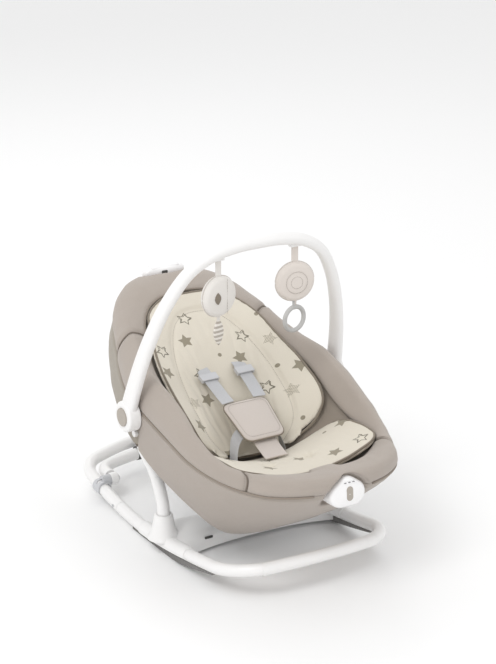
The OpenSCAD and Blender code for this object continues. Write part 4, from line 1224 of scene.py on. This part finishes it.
def toy_bar():
    lean = math.radians(16)
    half = [(235.55, 24), (231.55, 60), (222.55, 120), (207.55, 185), (184.55, 250), (149.55, 309),
            (102.55, 341), (50.55, 353), (0, 355)]
    line = half + [(-x, h) for x, h in half[-2::-1]]
    flat = smooth_curve([Vector((x, h, 0)) for x, h in line], 12)
    path = [at(p.x, -13 - p.y * math.sin(lean), 286 + p.y * math.cos(lean)) for p in flat]
    count = len(path) - 1
    forward = Vector((0, math.cos(lean), math.sin(lean)))
    sizes = []
    for i in range(count + 1):
        w = max(0.0, 1 - min(i, count - i) / (count / 3))
        sizes.append(((12 + 8.16 * w ** 1.1), (11.5 + 0.96 * w)))
    rings = []
    turned = headings(path)
    for point, ahead, (wide, thick) in zip(path, turned, sizes):
        flatways = ahead.cross(forward).normalized()
        ring = []
        for k in range(40):
            angle = math.tau * k / 40
            c, s = math.cos(angle), math.sin(angle)
            ring.append(point + forward * wide * MM * math.copysign(abs(c) ** 0.85, c)
                        + flatways * thick * MM * math.copysign(abs(s) ** 0.85, s))
        rings.append(ring)
    piece("toy_bar_arch", skin_mesh("arch", rings), white_plastic, "bar", ["toy_bar"])
    for side, node in ((1, "right"), (-1, "left")):
        profile = [(19.3, KNOB_IN), (29.5, KNOB_IN), (31, KNOB_IN + 1.5), (31, KNOB_OUT - 5), (30.6, KNOB_OUT - 2.6),
                   (29.4, KNOB_OUT - 0.9), (27.4, KNOB_OUT), (18.4, KNOB_OUT), (18.4, KNOB_OUT - 9),
                   (12, KNOB_OUT - 9), (12, KNOB_OUT - 12), (19.3, KNOB_OUT - 12), (19.3, KNOB_IN)]
        mesh = turned_mesh("knob", [(r * MM, d * MM) for r, d in profile], at(0, -13, 286), (side, 0, 0), 96)
        piece("knob_shell_" + node, mesh, white_plastic, "bar", ["toy_hub_" + node])
        keep_cad(["release_button_" + node], taupe_plastic)


def disc_outline(width, height, steps=72):
    return [(width / 2 * math.cos(math.tau * k / steps), height / 2 * math.sin(math.tau * k / steps))
            for k in range(steps)]


def leaf_outline(width, height, steps=40):
    side = [(width / 2 * math.sin(math.pi * k / steps) ** 0.8, -height * k / steps) for k in range(steps + 1)]
    return [(-a, b) for a, b in side[::-1]] + side[1:-1]


def toys():
    striped = Paint("striped_plush")
    x, y, z = striped.parts(striped.place())
    bands = (z * (math.tau / 0.009)).math("SINE") > 0.0
    pile = striped.noise(striped.place(), 700, 4, 0.7)
    striped_plush = striped.finish(striped.blend(bands, colour(226, 221, 214), colour(176, 168, 158)), 0.95,
                                   striped.bump(pile, 0.0005, 0.8), **{"Sheen Weight": 0.4})
    for side, node, turn in ((-1, "left", 11), (1, "right", -10)):
        body = "plush_" + node
        hang = at(side * 85.5, -104.24, 604.18)
        centre = at(side * 85.5, -104.24, 532.18)
        angle = math.radians(turn)
        right = Vector((math.cos(angle), math.sin(angle), 0))
        face = right.cross(UP)
        outline = disc_outline(80, 80)
        mesh = pillow("disc", outline, centre, right, UP, -11, 11, 10, 2.2, 2.2)
        tape = webbing_loop("tape", hang, centre + UP * 38 * MM, right, 14)
        cap = rounded_box("cap", hang + UP * 2 * MM, (12, 6, 3.4), 2)
        link_tape = webbing_loop("tape", centre - UP * 38 * MM, centre - UP * 49 * MM, right, 7)
        disc = piece("toy_disc_" + node, joined("disc", mesh, tape, link_tape), plush_pile if side < 0 else plush_back, body,
                     ["toy_" + node], crease=0)
        piece("toy_cap_" + node, cap, white_plastic, body)
        loop = [centre + (right * math.cos(math.tau * k / 72) + UP * math.sin(math.tau * k / 72)) * 40.2 * MM
                for k in range(72)]
        piping("toy_piping_" + node, loop, 0.0013, toy_piping, body)
        if side < 0:
            lines = [[centre + (right * 12 + UP * t) * MM - face * 0.0 + face * 12.6 * MM for t in range(-34, 35, 2)]]
            emblem = pillow("emblem", leaf_outline(15, 24), centre + (UP * 12 - right * 12) * MM, right, UP,
                            12.4, 14.2, 0.9, 0.4, 0)
            piece("toy_emblem", emblem, pad_piping_cloth, body, crease=0)
        else:
            lines = [[centre + (right * (4 + r) * math.cos(a) + UP * (4 + r) * math.sin(a)) * MM + face * 13.0 * MM
                      for a in [math.tau * k / 48 for k in range(49)]] for r in (8, 18)]
        stitched("toy_stitches_" + node, lines, body, 0.003, 0.0022)
    right = Vector((math.cos(math.radians(11)), math.sin(math.radians(11)), 0))
    link = at(-85.5, -104.24, 486.18)
    mesh = pillow("leaf", leaf_outline(24, 54), link, right, UP, -2.5, 2.5, 2.4, 1, 1)
    leaf = piece("hanging_leaf", mesh, striped_plush, "leaf", ["leaf"], crease=0)
    angle = math.radians(8)
    across = Vector((math.cos(angle), math.sin(angle), 0))
    centre = at(85.5, -104.24, 454.7)
    path = [centre + (across * math.cos(math.tau * k / 144) + UP * math.sin(math.tau * k / 144)) * 24 * MM
            for k in range(144)]
    sizes = [(1 - 0.07 * (k % 2), 1 - 0.07 * (k % 2)) for k in range(144)]
    ring = swept("ring", path, circle_section(4.6 * MM, 20), across.cross(UP), True, sizes)
    tape = webbing_loop("tape", at(85.5, -104.24, 494), at(85.5, -104.24, 474), across, 9)
    piece("ribbed_teether", joined("teether", ring, tape), ring_rubber, "ring", ["teether_ring"])


def webbing_loop(name, high, low, across, width):
    """A folded tape between two points."""
    face = across.cross(UP)
    rings = []
    for k in range(13):
        spot = high.lerp(low, k / 12)
        ring = []
        for m in range(20):
            angle = math.tau * m / 20
            c, s = math.cos(angle), math.sin(angle)
            ring.append(spot + (across * width / 2 * math.copysign(abs(c) ** 0.3, c)
                                + face * 1.6 * math.copysign(abs(s) ** 0.6, s)) * MM)
        rings.append(ring)
    return skin_mesh(name, rings)


# ---- Room ----
def room():
    scene = bpy.context.scene
    floor = bpy.data.meshes.new("floor")
    floor.from_pydata([(-9, -9, 0), (9, -9, 0), (9, 9, 0), (-9, 9, 0)], [], [(0, 1, 2, 3)])
    ground = bpy.data.objects.new("floor", floor)
    pale = Paint("floor_pale")
    floor.materials.append(pale.finish(colour(246, 246, 246), 0.6))
    scene.collection.objects.link(ground)
    world = bpy.data.worlds.new("studio")
    world.use_nodes = True
    world.node_tree.nodes["Background"].inputs[0].default_value = (1, 1, 1, 1)
    world.node_tree.nodes["Background"].inputs[1].default_value = 0.9
    scene.world = world
    scene.view_settings.view_transform = "Standard"
    target = Vector((0, -0.0265, 0.43254))
    for name, place, size, power in (("key", (-2.4, -1.2, 3.2), 1.6, 45), ("fill", (2.6, -2.0, 1.6), 2.5, 6),
                                     ("back", (0.6, 2.6, 2.6), 2.0, 14)):
        light = bpy.data.lights.new(name, "AREA")
        light.energy = power
        light.size = size
        lamp = bpy.data.objects.new(name, light)
        lamp.location = place
        lamp.rotation_euler = (target - Vector(place)).to_track_quat("-Z", "Y").to_euler()
        scene.collection.objects.link(lamp)
    lens = bpy.data.cameras.new("camera")
    lens.lens = 2200 * 36 / 664
    lens.sensor_width = 36
    lens.clip_start = 0.05
    camera = bpy.data.objects.new("camera", lens)
    camera.location = (-2.0725, -3.4621, 1.9167)
    camera.rotation_euler = (target - camera.location).to_track_quat("-Z", "Y").to_euler()
    scene.collection.objects.link(camera)
    scene.camera = camera


room()
base()
head_cover, front_cover, skirt_cover, back_cloths = covers()
pocket([front_cover, skirt_cover], *unit_axes(), UNIT_HULL, 19, 10)
pocket([head_cover, back_cloths], at(0, 266, 458), Vector((1, 0, 0)), Vector((0, 1, 0)), HANDLE_HULL, 12, 9)
liner()
pads()
harness()
vibration_unit()
handle()
toy_bar()
toys()
keep_cad(["strap_adjuster_left", "strap_adjuster_right"], grey_plastic)
keep_cad(["buckle", "buckle_button"], dark_plastic)
keep_cad(["snap_fasteners"], white_plastic)
seam_out = [p + (p - at(0, -60, 280)).normalized() * 0.0030 for p in seam_line]
unit_gap = 4
piping("outer_piping", seam_out[unit_gap:STATIONS - unit_gap], 0.0024, cover_piping, closed=False)
piping("rear_hem_piping", [hem_line[i] + UP * 0.001 for i in stations(HUB_SEAM, STATIONS - HUB_SEAM)], 0.003,
       piping_cloth, closed=False)
piping("pad_side_piping", [p + UP * 0.004 for p in pad_line], 0.0026, cover_piping)
joints_across = []
for station in (FRONT_SEAM, -FRONT_SEAM, HEAD_SEAM, -HEAD_SEAM):
    rows = [panel_section(i % STATIONS) for i in (station - 1, station, station + 1)]
    lift = grid_normals(rows)[1]
    joints_across.append([p + n * 0.0024 for p, n in zip(rows[1], lift)])
for label, line in zip(("front_right", "front_left", "head_right", "head_left"), joints_across):
    piping("panel_seam_" + label, line, 0.0017, piping_cloth, closed=False)
beside = []
for station in (FRONT_SEAM + 0.5, -FRONT_SEAM - 0.5, HEAD_SEAM - 0.5, -HEAD_SEAM + 0.5):
    low, high = math.floor(station), math.ceil(station)
    rows = [panel_section(i % STATIONS) for i in (low, high)]
    lift = grid_normals(rows)[0]
    beside.append([a.lerp(b, 0.5) + n * 0.0058 for a, b, n in zip(*rows, lift)][1:-2])
stitched("panel_stitches", beside, pitch=0.0045, length=0.003)
